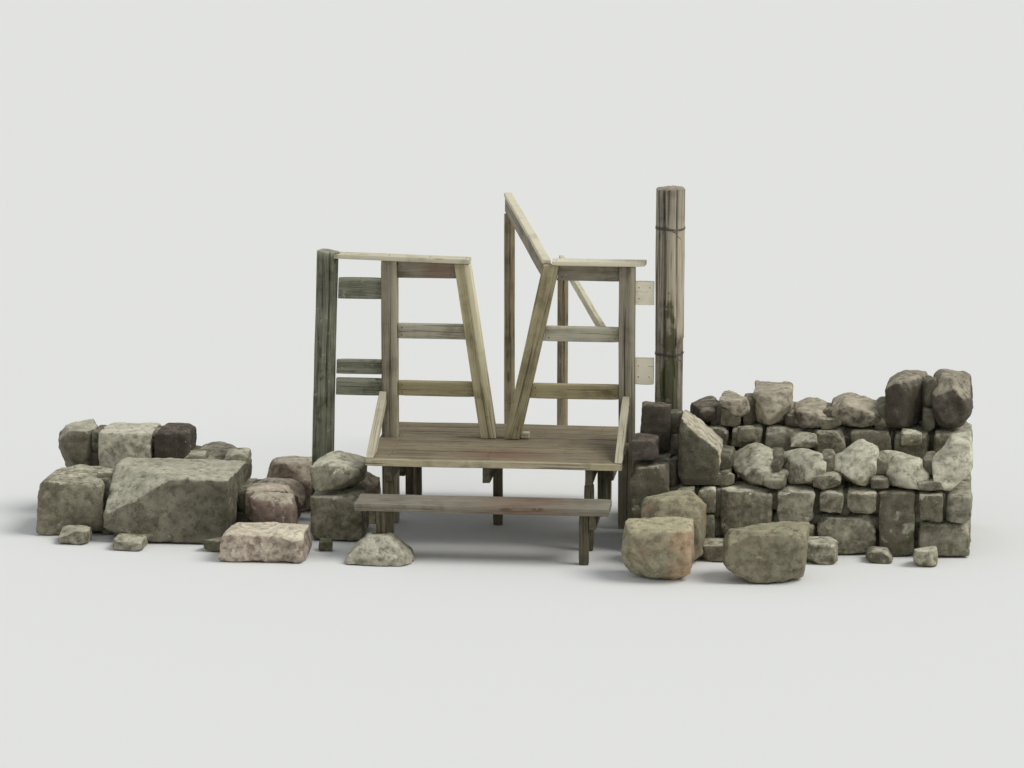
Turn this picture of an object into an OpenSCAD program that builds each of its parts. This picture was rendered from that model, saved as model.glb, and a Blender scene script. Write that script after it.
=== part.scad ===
// Timber squeeze stile on a raised deck, standing in a gap of a low, tumbled
// dry-stone wall. -Y is the near side of the wall, +X runs along the wall,
// +Z is up, and the ground is at z = 0. Every piece is drawn with the frame
// at y = 0, and placed() then moves it so that the whole is centred in y.

/* [Deck] */
// Height of the deck's walking surface above the ground
deck_top = 560; // [500:10:620]
// Left end of the deck, from the middle of the frame
deck_left = -810; // [-850:5:-800]
// Right end of the deck
deck_right = 770; // [750:5:790]
// Front edge of the deck
deck_front = -700; // [-730:5:-680]
// Back edge of the deck
deck_back = 430; // [410:5:480]
// Thickness of a deck board
board_t = 45; // [38:1:50]
// Number of deck boards, which run along the wall
board_count = 8; // [7:1:9]

/* [Frame] */
// Distance of each frame post's centre from the middle
post_x = 745; // [735:5:755]
// Width of a frame post or squeeze post
post_w = 100; // [90:1:104]
// Underside of the cap rails
cap_under = 1670; // [1600:10:1690]
// Width of a cap rail, front to back
cap_w = 120; // [110:1:140]
// Thickness of a cap rail
cap_t = 30; // [25:1:36]
// Thickness of the rails, front to back
rail_t = 45; // [38:1:50]
// Height of a mid rail's top above the deck
mid_rail_top = 720; // [700:5:780]
// Height of a bottom rail's top above the deck
bottom_rail_top = 355; // [340:5:420]
// Left squeeze post's distance from the middle at the deck
squeeze_left_foot = 120; // [115:1:130]
// Left squeeze post's distance from the middle at the cap
squeeze_left_head = 286; // [240:1:300]
// Right squeeze post's distance from the middle at the deck
squeeze_right_foot = 26; // [24:1:40]
// Right squeeze post's distance from the middle at the cap
squeeze_right_head = 271; // [250:1:290]
// Fall of the left cap rail towards the gap, in degrees
cap_fall = 1.3; // [0.5:0.1:2]

/* [Strainer posts] */
// Diameter of the right strainer post
right_strainer_d = 195; // [180:1:198]
// Height of the right strainer post
right_strainer_h = 2170; // [2000:10:2300]
// Diameter of the left strainer post
left_strainer_d = 150; // [140:1:156]
// Height of the left strainer post
left_strainer_h = 1740; // [1735:5:1800]

/* [Steps] */
// Height of a step board's top
step_top = 360; // [320:5:380]
// Thickness of a step board
step_t = 50; // [45:1:55]
// Depth of a step board, front to back
step_depth = 280; // [250:5:290]
// Gap between a step board and the deck's edge, in plan
step_gap = 70; // [60:1:80]

/* [Far handrail] */
// Distance of the handrail's far end behind the frame
handrail_end = 2000; // [1600:10:2600]
// Turn of the far rails towards the left, in degrees
handrail_turn = 12.8; // [5:0.1:16]
// Rise of the far rails, in degrees
handrail_rise = 3.3; // [0:0.1:4]
// Distance of the low rail's near end to the right of the middle
low_rail_x = 600; // [560:5:640]

/* [Walls] */
// Left end of the left wall
wall_left = -2900; // [-3100:10:-2850]
// Right end of the right wall
wall_right = 2900; // [2850:10:3100]
// Height of the right wall's base course
base_top = 400; // [380:5:420]
// Height of the top of the right wall's middle course
middle_top = 680; // [660:5:700]
// Height of the left wall's base course
low_base_top = 200; // [180:5:220]

/* [Hidden] */

// Front limit of the whole; the handrail's far end is the back limit
front_limit = -1450;
frame_y = -(front_limit + handrail_end) / 2;

$fn = 48;
big = 5000;
arris = 4;
half_w = post_w / 2;

// Rails and squeeze posts
rail_h = 95;
top_rail_h = 100;
squeeze_rise = cap_under - deck_top;
left_cap_end = -squeeze_left_head + half_w;
left_cap_length = 880;
right_cap_start = squeeze_right_head + 3;
right_cap_end = 860;
foot_block_w = 60;
foot_block_h = 42;
foot_block_end = 135;

// Strainer posts
right_strainer_x = 1010;
left_strainer_x = -1190;
left_strainer_lean = 1.8;
head_chamfer = 12;

// Heights of the short boards that link the frame to the strainer posts
link_t = 35;
left_links = [[1430, 1565], [950, 1045], [815, 925]];
right_links = [[1425, 1575], [920, 1090]];

// Deck boards, bearers and legs
board_gap = 6;
board_w = (deck_back - deck_front - (board_count - 1) * board_gap) / board_count;
bearer_w = 50;
bearer_h = 100;
bearer_inset = 20;
bearer_top = deck_top - board_t;
bearer_under = bearer_top - bearer_h;
left_bearer_x = -post_x + half_w + bearer_w / 2;
middle_bearer_x = -65;
right_bearer_x = 565;
leg_w = 60;
leg_inset = 70;

// Struts from the deck's front corners to the frame posts
strut_w = 50;
strut_h = 70;
strut_angle = 25;
strut_inset = 15;

// Step boards and their frames
step_left = -830;
step_right = 720;
step_under = step_top - step_t;
bracket_w = 45;
bracket_h = 90;
step_leg_inset = 30;
foot_stone_h = 170;

// Far handrail and the low rail beside it
handrail_w = 56;
handrail_x = squeeze_right_head - 31;
stake_d = 80;
stake_inset = 90;
low_rail_t = 34;
low_rail_h = 60;

// Rings of a stone: fraction of its height, and of its width there
block_rings = [[0, 0.92], [0.12, 0.99], [0.5, 1], [0.86, 0.98], [1, 0.88]];
boulder_rings = [[0, 0.84], [0.16, 0.96], [0.5, 1], [0.82, 0.94], [1, 0.74]];
slab_rings = [[0, 0.9], [0.3, 1], [0.7, 0.97], [1, 0.82]];
cone_rings = [[0, 1], [0.25, 0.94], [0.62, 0.66], [1, 0.34]];
stone_gap = 8;
// How square a stone's outline is: 2 is an ellipse
rounded = 3.2;
squared = 6;

// Front and back faces of the walls' rows of stone
front_row = [-620, -160];
middle_row = [-150, 380];
left_row = [-100, 380];

// Right wall's cope stones: left end, right end, top
cope_stones = [
  [1130, 1310, 800], [1318, 1520, 860], [1528, 1780, 910], [1788, 2000, 800],
  [2008, 2340, 850], [2350, 2620, 1000], [2628, wall_right, 1020]
];

// Right wall's base stones in the front and in the middle row, and the
// stones of its middle course: left end, right end, underside, top
front_base = [
  [1090, 1345, 0, 235], [1090, 1212, 235, base_top], [1220, 1345, 235, base_top],
  [1353, 1690, 0, base_top], [1698, 1950, 0, 185], [1698, 1950, 185, base_top],
  [1958, 2320, 0, 255], [1958, 2125, 255, base_top], [2133, 2320, 255, base_top],
  [2328, 2560, 0, base_top], [2568, wall_right, 0, 220],
  [2568, 2725, 220, base_top], [2733, wall_right, 220, base_top]
];
middle_base = [
  [1130, 1420, 0, base_top], [1428, 1700, 0, 190], [1428, 1700, 190, base_top],
  [1708, 2060, 0, base_top], [2068, 2330, 0, 210], [2068, 2330, 210, base_top],
  [2338, wall_right, 0, 180], [2338, 2600, 180, base_top], [2608, wall_right, 180, base_top]
];
middle_stones = [
  [1130, 1390, base_top, middle_top], [1398, 1600, base_top, 540], [1398, 1600, 540, middle_top],
  [1608, 1900, base_top, middle_top], [1908, 2130, base_top, middle_top],
  [2138, 2400, base_top, 530], [2138, 2400, 530, middle_top],
  [2408, 2640, base_top, middle_top], [2648, wall_right, base_top, middle_top]
];

// Right wall's front boulders on the base course: left end, right end, top
front_boulders = [
  [1390, 1690, 610], [1700, 2010, 600], [2020, 2330, 680],
  [2345, 2635, 600], [2645, wall_right, 725]
];

function sign_of(v) = v < 0 ? -1 : 1;
function sum_to(v, n, i = 0) = i >= n ? 0 : v[i] + sum_to(v, n, i + 1);

// Centre of each leaning post at a height
function left_lean_x(z) =
  -squeeze_left_foot - (squeeze_left_head - squeeze_left_foot) * (z - deck_top) / squeeze_rise;
function right_lean_x(z) =
  squeeze_right_foot + (squeeze_right_head - squeeze_right_foot) * (z - deck_top) / squeeze_rise;

// Point of a stone's ring: a rounded oblong with uneven corners
function ring_point(size, ring, angle, reach, lift, squareness) =
  let (
    c = cos(angle),
    s = sin(angle),
    x = sign_of(c) * pow(abs(c), 2 / squareness),
    y = sign_of(s) * pow(abs(s), 2 / squareness)
  )
  [size.x / 2 * x * ring[1] * reach, size.y / 2 * y * ring[1] * reach, size.z * (ring[0] + lift)];

// Stone with a flat bed and a flat top that fills a box of the given size
module stone(size, seed, rings, sides, squareness) {
  last = len(rings) - 1;
  reach = rands(0.9, 1, (last + 1) * sides, seed);
  lift = rands(-0.05, 0.05, (last + 1) * sides, seed + 1);
  points = [
    for (r = [0 : last], i = [0 : sides - 1])
      let (
        k = r * sides + i,
        widest = rings[r][1] == 1,
        on_axis = (i * 4) % sides == 0
      )
      ring_point(size, rings[r], i * 360 / sides,
        widest && on_axis ? 1 : reach[k],
        r > 0 && r < last ? lift[k] : 0, squareness)
  ];
  bands = [
    for (r = [0 : last - 1], i = [0 : sides - 1])
      let (
        a = r * sides + i,
        b = r * sides + (i + 1) % sides
      )
      each [[a, a + sides, b], [b, a + sides, b + sides]]
  ];
  bed = [for (i = [0 : sides - 1]) i];
  top = [for (i = [sides - 1 : -1 : 0]) last * sides + i];
  polyhedron(points, concat([bed, top], bands));
}

// Stone given by its two ends in x, its two faces in y and its two heights
module laid_stone(x, y, z, seed, rings = block_rings, sides = 8, squareness = squared) {
  translate([(x[0] + x[1]) / 2, (y[0] + y[1]) / 2, z[0]])
    stone([x[1] - x[0], y[1] - y[0], z[1] - z[0]], seed, rings, sides, squareness);
}

module boulder(x, y, z, seed, rings = boulder_rings, sides = 8) {
  laid_stone(x, y, z, seed, rings, sides, rounded);
}

// Stones given as left end, right end, underside and top, between two faces in y
module bonded_stones(stones, y, seed) {
  for (i = [0 : len(stones) - 1])
    laid_stone([stones[i][0], stones[i][1]], y, [stones[i][2], stones[i][3]], seed + 10 * i);
}

// Row of stones of uneven widths between two ends
module course(x, y, z, count, seed) {
  share = rands(0.75, 1.25, count, seed);
  run = x[1] - x[0] + stone_gap;
  for (i = [0 : count - 1]) {
    start = x[0] + run * sum_to(share, i) / sum_to(share, count);
    end = x[0] + run * sum_to(share, i + 1) / sum_to(share, count) - stone_gap;
    laid_stone([start, end], y, z, seed + 10 * i + 1);
  }
}

// Upright timber with eased long edges, standing on its lower end
module timber(w, d, h) {
  linear_extrude(height = h)
    polygon([
      [-w / 2 + arris, -d / 2], [w / 2 - arris, -d / 2],
      [w / 2, -d / 2 + arris], [w / 2, d / 2 - arris],
      [w / 2 - arris, d / 2], [-w / 2 + arris, d / 2],
      [-w / 2, d / 2 - arris], [-w / 2, -d / 2 + arris]
    ]);
}

// Timber along the wall between two ends in x
module rail(x, y, z) {
  translate([x[0], (y[0] + y[1]) / 2, (z[0] + z[1]) / 2])
    rotate([0, 90, 0])
      timber(z[1] - z[0], y[1] - y[0], x[1] - x[0]);
}

// Timber across the wall between two ends in y
module cross_timber(x, y, z) {
  translate([(x[0] + x[1]) / 2, y[0], (z[0] + z[1]) / 2])
    rotate([-90, 0, 0])
      timber(x[1] - x[0], z[1] - z[0], y[1] - y[0]);
}

// Upright timber between two heights
module upright(x, y, z, w, d) {
  translate([x, y, z[0]]) timber(w, d, z[1] - z[0]);
}

// Everything above a height
module above(z) {
  translate([-big, -big, z]) cube([2 * big, 2 * big, big]);
}

module placed() {
  translate([0, frame_y, 0]) children();
}

// Everything above the left cap rail's underside, which falls towards the gap
module above_left_cap() {
  translate([left_cap_end, 0, cap_under])
    rotate([0, cap_fall, 0])
      above(0);
}

// Squeeze post with a level foot on the deck and its head not yet cut
module leaning_post(foot, head) {
  intersection() {
    translate([foot, 0, deck_top])
      rotate([0, atan((head - foot) / squeeze_rise), 0])
        translate([0, 0, -post_w])
          timber(post_w, post_w, squeeze_rise + 3 * post_w);
    translate([-big / 2, -big / 2, deck_top])
      cube([big, big, squeeze_rise + post_w]);
  }
}

module left_leaning_post() {
  leaning_post(-squeeze_left_foot, -squeeze_left_head);
}

module right_leaning_post() {
  leaning_post(squeeze_right_foot, squeeze_right_head);
}

// Strainer posts, whose sides also cut the boards that meet them
module strainer(d, h) {
  rotate_extrude()
    polygon([
      [0, 0], [d / 2, 0], [d / 2, h - head_chamfer],
      [d / 2 - head_chamfer, h], [0, h]
    ]);
}

module left_strainer() {
  difference() {
    translate([left_strainer_x, 0, 0])
      rotate([0, left_strainer_lean, 0])
        translate([0, 0, -post_w])
          strainer(left_strainer_d, left_strainer_h + post_w);
    translate([-big / 2, -big / 2, -big]) cube(big);
  }
}

module right_strainer() {
  translate([right_strainer_x, 0, 0]) strainer(right_strainer_d, right_strainer_h);
}

module left_post() {
  color("tan") placed()
    difference() {
      upright(-post_x, 0, [0, cap_under + post_w], post_w, post_w);
      above_left_cap();
    }
}

module right_post() {
  color("tan") placed()
    upright(post_x, 0, [0, cap_under], post_w, post_w);
}

module left_squeeze_post() {
  color("burlywood") placed()
    difference() {
      left_leaning_post();
      above_left_cap();
    }
}

module right_squeeze_post() {
  color("burlywood") placed()
    difference() {
      right_leaning_post();
      above(cap_under);
    }
}

// Flat board from the left strainer post over the frame post to the gap
module left_cap_rail() {
  color("cornsilk") placed()
    difference() {
      translate([left_cap_end, 0, cap_under])
        rotate([0, cap_fall, 0])
          translate([-left_cap_length, -cap_w / 2, 0])
            cube([left_cap_length, cap_w, cap_t]);
      left_strainer();
    }
}

module right_cap_rail() {
  color("cornsilk") placed()
    translate([right_cap_start, -cap_w / 2, cap_under])
      cube([right_cap_end - right_cap_start, cap_w, cap_t]);
}

// Rail from the left frame post to the side of the leaning post
module left_panel_rail(z) {
  difference() {
    rail([-post_x + half_w, left_lean_x((z[0] + z[1]) / 2)], [-rail_t / 2, rail_t / 2], z);
    left_leaning_post();
    above_left_cap();
  }
}

// Rail from the side of the leaning post to the right frame post
module right_panel_rail(z) {
  difference() {
    rail([right_lean_x((z[0] + z[1]) / 2), post_x - half_w], [-rail_t / 2, rail_t / 2], z);
    right_leaning_post();
  }
}

module left_top_rail() {
  color("darkkhaki") placed()
    left_panel_rail([cap_under - top_rail_h, cap_under + half_w]);
}

module right_top_rail() {
  color("darkkhaki") placed()
    right_panel_rail([cap_under - top_rail_h, cap_under]);
}

module left_mid_rail() {
  color("lightgray") placed()
    left_panel_rail([deck_top + mid_rail_top - rail_h, deck_top + mid_rail_top]);
}

module right_mid_rail() {
  color("lightgray") placed()
    right_panel_rail([deck_top + mid_rail_top - rail_h, deck_top + mid_rail_top]);
}

module left_bottom_rail() {
  color("tan") placed()
    left_panel_rail([deck_top + bottom_rail_top - rail_h, deck_top + bottom_rail_top]);
}

module right_bottom_rail() {
  color("tan") placed()
    right_panel_rail([deck_top + bottom_rail_top - rail_h, deck_top + bottom_rail_top]);
}

// Small cleat that holds the right squeeze post's foot
module squeeze_foot_block() {
  color("wheat") placed()
    difference() {
      rail([squeeze_right_foot, foot_block_end], [-foot_block_w / 2, foot_block_w / 2],
        [deck_top, deck_top + foot_block_h]);
      right_leaning_post();
    }
}

module left_strainer_post() {
  color("darkolivegreen") placed() left_strainer();
}

module right_strainer_post() {
  color("slategray") placed() right_strainer();
}

module left_link_rails() {
  color("darkseagreen") placed()
    for (z = left_links)
      difference() {
        rail([left_strainer_x + left_strainer_d / 2, -post_x - half_w], [-link_t / 2, link_t / 2], z);
        left_strainer();
      }
}

module right_link_rails() {
  color("gainsboro") placed()
    for (z = right_links)
      difference() {
        rail([post_x + half_w, right_strainer_x], [-link_t / 2, link_t / 2], z);
        right_strainer();
      }
}

// Sloping strut from the deck to the front of a frame post
module strut(x) {
  foot = deck_front + strut_inset;
  head = deck_top + (-half_w - foot) * tan(strut_angle);
  translate([x, 0, 0])
    rotate([90, 0, 90])
      linear_extrude(height = strut_w)
        polygon([
          [foot, deck_top],
          [foot + strut_h / sin(strut_angle), deck_top],
          [-half_w, head - strut_h / cos(strut_angle)],
          [-half_w, head]
        ]);
}

module left_strut() {
  color("ivory") placed() strut(deck_left);
}

module right_strut() {
  color("ivory") placed() strut(deck_right - strut_w);
}

// Boards along the wall, cut round the frame posts
module deck_boards() {
  color("rosybrown") placed()
    for (i = [0 : board_count - 1]) {
      start = deck_front + i * (board_w + board_gap);
      difference() {
        rail([deck_left, deck_right], [start, start + board_w], [bearer_top, deck_top]);
        upright(-post_x, 0, [0, cap_under], post_w, post_w);
        upright(post_x, 0, [0, cap_under], post_w, post_w);
      }
    }
}

module deck_bearers() {
  color("dimgray") placed()
    for (x = [left_bearer_x, middle_bearer_x, right_bearer_x])
      cross_timber([x - bearer_w / 2, x + bearer_w / 2],
        [deck_front + bearer_inset, deck_back - bearer_inset],
        [bearer_under, bearer_top]);
}

module deck_front_legs() {
  color("gray") placed()
    for (x = [left_bearer_x, right_bearer_x])
      upright(x, deck_front + leg_inset, [0, bearer_under], leg_w, leg_w);
}

// Legs under the back of the deck, and one under the middle bearer
module deck_back_legs() {
  color("gray") placed() {
    for (x = [left_bearer_x, right_bearer_x])
      upright(x, deck_back - leg_inset, [0, bearer_under], leg_w, leg_w);
    upright(middle_bearer_x, 0, [0, bearer_under], leg_w, leg_w);
  }
}

// Leg under a step board, with the bracket that ties it to a deck leg
module step_frame(x, side, step_y, deck_leg_y, foot) {
  upright(x, step_y, [foot, step_under], leg_w, leg_w);
  start = side * leg_w / 2;
  near = min(step_y, deck_leg_y) - leg_w / 2;
  far = max(step_y, deck_leg_y) + leg_w / 2;
  cross_timber(
    [x + min(start, start + side * bracket_w), x + max(start, start + side * bracket_w)],
    [near, far], [step_under - bracket_h, step_under]);
}

front_step = [deck_front - step_gap - step_depth, deck_front - step_gap];
back_step = [deck_back + step_gap, deck_back + step_gap + step_depth];

module front_step_board() {
  color("silver") placed()
    rail([step_left, step_right], front_step, [step_under, step_top]);
}

module front_step_frames() {
  leg_y = front_step[0] + step_leg_inset + leg_w / 2;
  color("gray") placed() {
    step_frame(left_bearer_x, -1, leg_y, deck_front + leg_inset, foot_stone_h);
    step_frame(right_bearer_x, 1, leg_y, deck_front + leg_inset, 0);
  }
}

module back_step_board() {
  color("silver") placed()
    rail([step_left, step_right], back_step, [step_under, step_top]);
}

module back_step_frames() {
  leg_y = back_step[1] - step_leg_inset - leg_w / 2;
  color("gray") placed() {
    step_frame(left_bearer_x, -1, leg_y, deck_back - leg_inset, 0);
    step_frame(right_bearer_x, 1, leg_y, deck_back - leg_inset, 0);
  }
}

// Low pointed stone that carries the step's left leg
module foot_stone() {
  color("lightgray") placed()
    laid_stone([-880, -465], [-1180, -835], [0, foot_stone_h], 31, cone_rings, 12);
}

// A far rail's own axes: y runs away from the frame along its top
module along_far_rail(x, z) {
  translate([x, 0, z])
    rotate([0, 0, handrail_turn])
      rotate([handrail_rise, 0, 0])
        children();
}

module along_handrail() {
  along_far_rail(handrail_x, cap_under + cap_t) children();
}

module along_low_rail() {
  along_far_rail(low_rail_x, deck_top + mid_rail_top) children();
}

// Bar below a far rail's axis, to be cut off square with the wall
module far_bar(w, top, under) {
  translate([-w / 2, -cap_w, under])
    cube([w, big, top - under]);
}

module between_ends(start, end) {
  translate([-big / 2, start, 0])
    cube([big, end - start, big]);
}

// Round stake that ends under a far rail
module far_stake(x, y) {
  translate([x - tan(handrail_turn) * y, y, 0])
    cylinder(d = stake_d, h = cap_under + 2 * post_w);
}

module far_handrail_cap() {
  color("cornsilk") placed()
    intersection() {
      along_handrail() far_bar(handrail_w, 0, -cap_t);
      between_ends(0, handrail_end);
    }
}

module far_handrail_rail() {
  color("darkkhaki") placed()
    intersection() {
      along_handrail() far_bar(rail_t, -cap_t, -cap_t - top_rail_h);
      between_ends(half_w, handrail_end);
    }
}

module far_handrail_post() {
  color("dimgray") placed()
    difference() {
      far_stake(handrail_x, handrail_end - stake_inset);
      along_handrail() above(-cap_t - top_rail_h);
    }
}

// Thin rail that runs away from the back of the right mid rail
module far_low_rail() {
  color("cornsilk") placed()
    intersection() {
      along_low_rail() far_bar(low_rail_t, 0, -low_rail_h);
      between_ends(rail_t / 2, handrail_end);
    }
}

module far_low_rail_post() {
  color("dimgray") placed()
    difference() {
      far_stake(low_rail_x, handrail_end - stake_inset);
      along_low_rail() above(-low_rail_h);
    }
}

module left_flat_slab() {
  color("darkgray") placed()
    boulder([-2450, -1640], [-760, -112], [0, 425], 41, boulder_rings, 12);
}

module left_squared_block() {
  color("lightgray") placed()
    laid_stone([-2610, -2258], [-100, 290], [low_base_top, 560], 43);
}

module left_dark_block() {
  color("dimgray") placed()
    laid_stone([-2250, -2020], [-95, 280], [low_base_top, 565], 45);
}

module left_loose_slab() {
  color("mistyrose") placed()
    laid_stone([-1650, -1110], [-1180, -840], [0, 195], 47, slab_rings, 12);
}

// Single stones on the ground at the collapsed end of the left wall
module left_fallen_stones() {
  color("rosybrown") placed() {
    boulder([-1530, -1250], [-760, -500], [0, 320], 49);
    boulder([-1610, -1275], [-470, -130], [0, 300], 51);
    boulder([-1640, -1290], [-110, 130], [0, 260], 53);
    boulder([-1600, -1210], [150, 470], [0, 330], 55);
    boulder([-1190, -850], [130, 480], [0, 280], 57);
  }
}

module left_wall_base_course() {
  color("gray") placed() {
    course([wall_left, -1650], left_row, [0, low_base_top], 4, 61);
    laid_stone([wall_left, -2470], [-620, -112], [0, 360], 63);
    laid_stone([-1190, -840], [-610, -125], [0, 300], 65);
  }
}

module left_wall_top_course() {
  color("whitesmoke") placed() {
    laid_stone([wall_left, -2620], left_row, [low_base_top, 590], 67, block_rings, 12);
    laid_stone([-2010, -1655], [-90, 370], [low_base_top, 430], 69);
    laid_stone([-1180, -850], [-590, -160], [300, 500], 71, slab_rings, 12);
  }
}

module right_wall_base_course() {
  color("gray") placed() {
    bonded_stones(front_base, front_row, 73);
    bonded_stones(middle_base, middle_row, 75);
    laid_stone([805, 1070], [-660, -125], [0, 560], 77);
    laid_stone([810, 1100], [125, 460], [0, 420], 79);
  }
}

module right_wall_middle_course() {
  color("darkgray") placed() {
    bonded_stones(middle_stones, [-130, 350], 81);
    for (i = [0 : len(front_boulders) - 1])
      boulder([front_boulders[i][0], front_boulders[i][1]], [-570, -145],
        [base_top, front_boulders[i][2]], 83 + 10 * i);
  }
}

module right_wall_cope_stones() {
  color("lightslategray") placed()
    for (i = [0 : len(cope_stones) - 1])
      laid_stone([cope_stones[i][0], cope_stones[i][1]], [-110, 330],
        [middle_top, cope_stones[i][2]], 85 + 10 * i);
}

// Boulder with a bright top that slopes down away from the stile
module right_leaning_stone() {
  color("white") placed()
    difference() {
      laid_stone([1092, 1370], [-580, -150], [base_top, 870], 87, slab_rings, 12);
      translate([1092, -big / 2, 845])
        rotate([0, 40, 0])
          translate([-big / 2, 0, 0])
            cube(big);
    }
}

// Two stones on the base stone between the deck and the right strainer post
module right_corner_stones() {
  color("darkslategray") placed() {
    laid_stone([812, 985], [-610, -390], [560, 700], 89, slab_rings, 12);
    laid_stone([850, 1050], [-370, -140], [560, 860], 91);
  }
}

// Boulders that lie in front of the right wall
module right_fallen_stones() {
  color("wheat") placed() {
    boulder([900, 1290], [-1040, -690], [0, 430], 93, boulder_rings, 12);
    boulder([815, 1250], [front_limit, -1090], [0, 345], 95, boulder_rings, 12);
    laid_stone([1410, 1930], [-1400, -1050], [0, 330], 97, slab_rings, 12);
  }
}

left_post();
right_post();
left_squeeze_post();
right_squeeze_post();
left_cap_rail();
right_cap_rail();
left_top_rail();
right_top_rail();
left_mid_rail();
right_mid_rail();
left_bottom_rail();
right_bottom_rail();
squeeze_foot_block();
left_strainer_post();
right_strainer_post();
left_link_rails();
right_link_rails();
left_strut();
right_strut();
deck_boards();
deck_bearers();
deck_front_legs();
deck_back_legs();
front_step_board();
front_step_frames();
back_step_board();
back_step_frames();
foot_stone();
far_handrail_cap();
far_handrail_rail();
far_handrail_post();
far_low_rail();
far_low_rail_post();
left_flat_slab();
left_squared_block();
left_dark_block();
left_loose_slab();
left_fallen_stones();
left_wall_base_course();
left_wall_top_course();
right_wall_base_course();
right_wall_middle_course();
right_wall_cope_stones();
right_leaning_stone();
right_corner_stones();
right_fallen_stones();
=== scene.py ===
import itertools
import math
import random

import bpy
import bmesh
from mathutils import Matrix, Vector, noise


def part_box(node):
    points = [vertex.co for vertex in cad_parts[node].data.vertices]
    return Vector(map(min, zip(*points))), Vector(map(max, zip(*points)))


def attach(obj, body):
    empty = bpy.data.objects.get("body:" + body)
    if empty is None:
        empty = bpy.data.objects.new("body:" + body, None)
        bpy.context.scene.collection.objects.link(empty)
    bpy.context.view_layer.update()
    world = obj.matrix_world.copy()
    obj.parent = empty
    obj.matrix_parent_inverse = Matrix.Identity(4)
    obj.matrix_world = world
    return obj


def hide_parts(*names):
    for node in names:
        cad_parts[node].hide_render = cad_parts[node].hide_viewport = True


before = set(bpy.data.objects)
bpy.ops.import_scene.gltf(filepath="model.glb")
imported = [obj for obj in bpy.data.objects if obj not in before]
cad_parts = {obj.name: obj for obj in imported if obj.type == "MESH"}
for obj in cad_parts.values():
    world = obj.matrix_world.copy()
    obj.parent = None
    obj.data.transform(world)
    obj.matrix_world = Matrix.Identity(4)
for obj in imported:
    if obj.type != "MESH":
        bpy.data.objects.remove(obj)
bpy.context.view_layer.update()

scene = bpy.context.scene
noise.seed_set(7)    # noise_vector would otherwise start from the clock
print("frame loaded,", len(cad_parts), "nodes")

view = {
    "azimuth": 6.0,      # degrees towards the right
    "elevation": 11.3,
    "distance": 25.0,
    "lens": 139.0,
    "target": (0.0, -0.05, 0.86),
}

light = {
    "sunStrength": 1.9,
    "sunSpread": 32.0,
    "sunFrom": (0.80, -0.10, 0.95),
    "sunColour": (1.0, 0.98, 0.94),
    "skyLevel": 0.52,
    "skyColour": (0.93, 0.97, 1.0),
    "backdrop": (0.83, 0.83, 0.815),
    "floor": (0.80, 0.80, 0.785),
    "floorSize": 150,
}


# Small helpers

def paint(red, green, blue):
    # a colour given as 0 to 255, as the linear colour that nodes take
    def linear(level):
        level /= 255
        return level / 12.92 if level <= 0.04045 else ((level + 0.055) / 1.055) ** 2.4
    return (linear(red), linear(green), linear(blue), 1.0)


def clamped(value):
    return min(1.0, max(0.0, value))


def smoothStep(low, high, value):
    t = clamped((value - low) / (high - low))
    return t * t * (3 - 2 * t)


def fadeOut(low, high, value):
    # 1 up to low and 0 from high on
    return 1 - smoothStep(low, high, value)


def turnBetween(first, second):
    # how far apart two angles round a post are
    return abs((first - second + math.pi) % (2 * math.pi) - math.pi)


class NodeTree:
    # each method below node() adds nodes and gives the output that is used
    def __init__(self, tree):
        tree.nodes.clear()
        self.tree = tree

    def fill(self, node, inputs):
        for key, value in inputs.items():
            if isinstance(value, bpy.types.NodeSocket):
                self.tree.links.new(value, node.inputs[key])
            else:
                node.inputs[key].default_value = value

    def node(self, kind, inputs, **settings):
        made = self.tree.nodes.new(kind)
        for key, value in settings.items():
            setattr(made, key, value)
        self.fill(made, inputs)
        return made

    def number(self, name):
        return self.node("ShaderNodeAttribute", {}, attribute_name=name).outputs["Fac"]

    def vector(self, name):
        return self.node("ShaderNodeAttribute", {}, attribute_name=name).outputs["Vector"]

    def place(self):
        return self.node("ShaderNodeTexCoord", {}).outputs["Object"]

    def normal(self):
        return self.node("ShaderNodeNewGeometry", {}).outputs["Normal"]

    def heightOf(self, vector):
        return self.node("ShaderNodeSeparateXYZ", {0: vector}).outputs[2]

    def math(self, operation, first, second=0.0):
        return self.node("ShaderNodeMath", {0: first, 1: second}, operation=operation).outputs[0]

    def plus(self, first, second):
        return self.math("ADD", first, second)

    def minus(self, first, second):
        return self.math("SUBTRACT", first, second)

    def times(self, first, second):
        return self.math("MULTIPLY", first, second)

    def vectorMath(self, operation, first, second):
        return self.node("ShaderNodeVectorMath", {0: first, 1: second}, operation=operation).outputs[0]

    def stretch(self, vector, scale):
        return self.node("ShaderNodeMapping", {"Vector": vector, "Scale": scale}).outputs[0]

    def noise(self, vector, scale, detail=4.0, roughness=0.55, distortion=0.0, output=0):
        return self.node("ShaderNodeTexNoise", {
            "Vector": vector, "Scale": scale, "Detail": detail,
            "Roughness": roughness, "Distortion": distortion}).outputs[output]

    def cells(self, vector, scale):
        return self.node("ShaderNodeTexVoronoi", {
            "Vector": vector, "Scale": scale, "Randomness": 1.0}).outputs["Distance"]

    def mix(self, factor, first, second):
        return self.node("ShaderNodeMix", {0: factor, 6: first, 7: second}, data_type="RGBA").outputs[2]

    def ranged(self, value, low, high, toLow=0.0, toHigh=1.0):
        return self.node("ShaderNodeMapRange", {
            "Value": value, "From Min": low, "From Max": high,
            "To Min": toLow, "To Max": toHigh}, interpolation_type="SMOOTHSTEP").outputs[0]

    def toned(self, colour, low, high):
        # darker or paler by the piece's own tone
        return self.node("ShaderNodeHueSaturation", {
            "Color": colour, "Value": self.ranged(self.number("tone"), 0.0, 1.0, low, high)}).outputs[0]

    def bump(self, height, strength, distance):
        return self.node("ShaderNodeBump", {
            "Strength": strength, "Distance": distance, "Height": height}).outputs[0]


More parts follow.
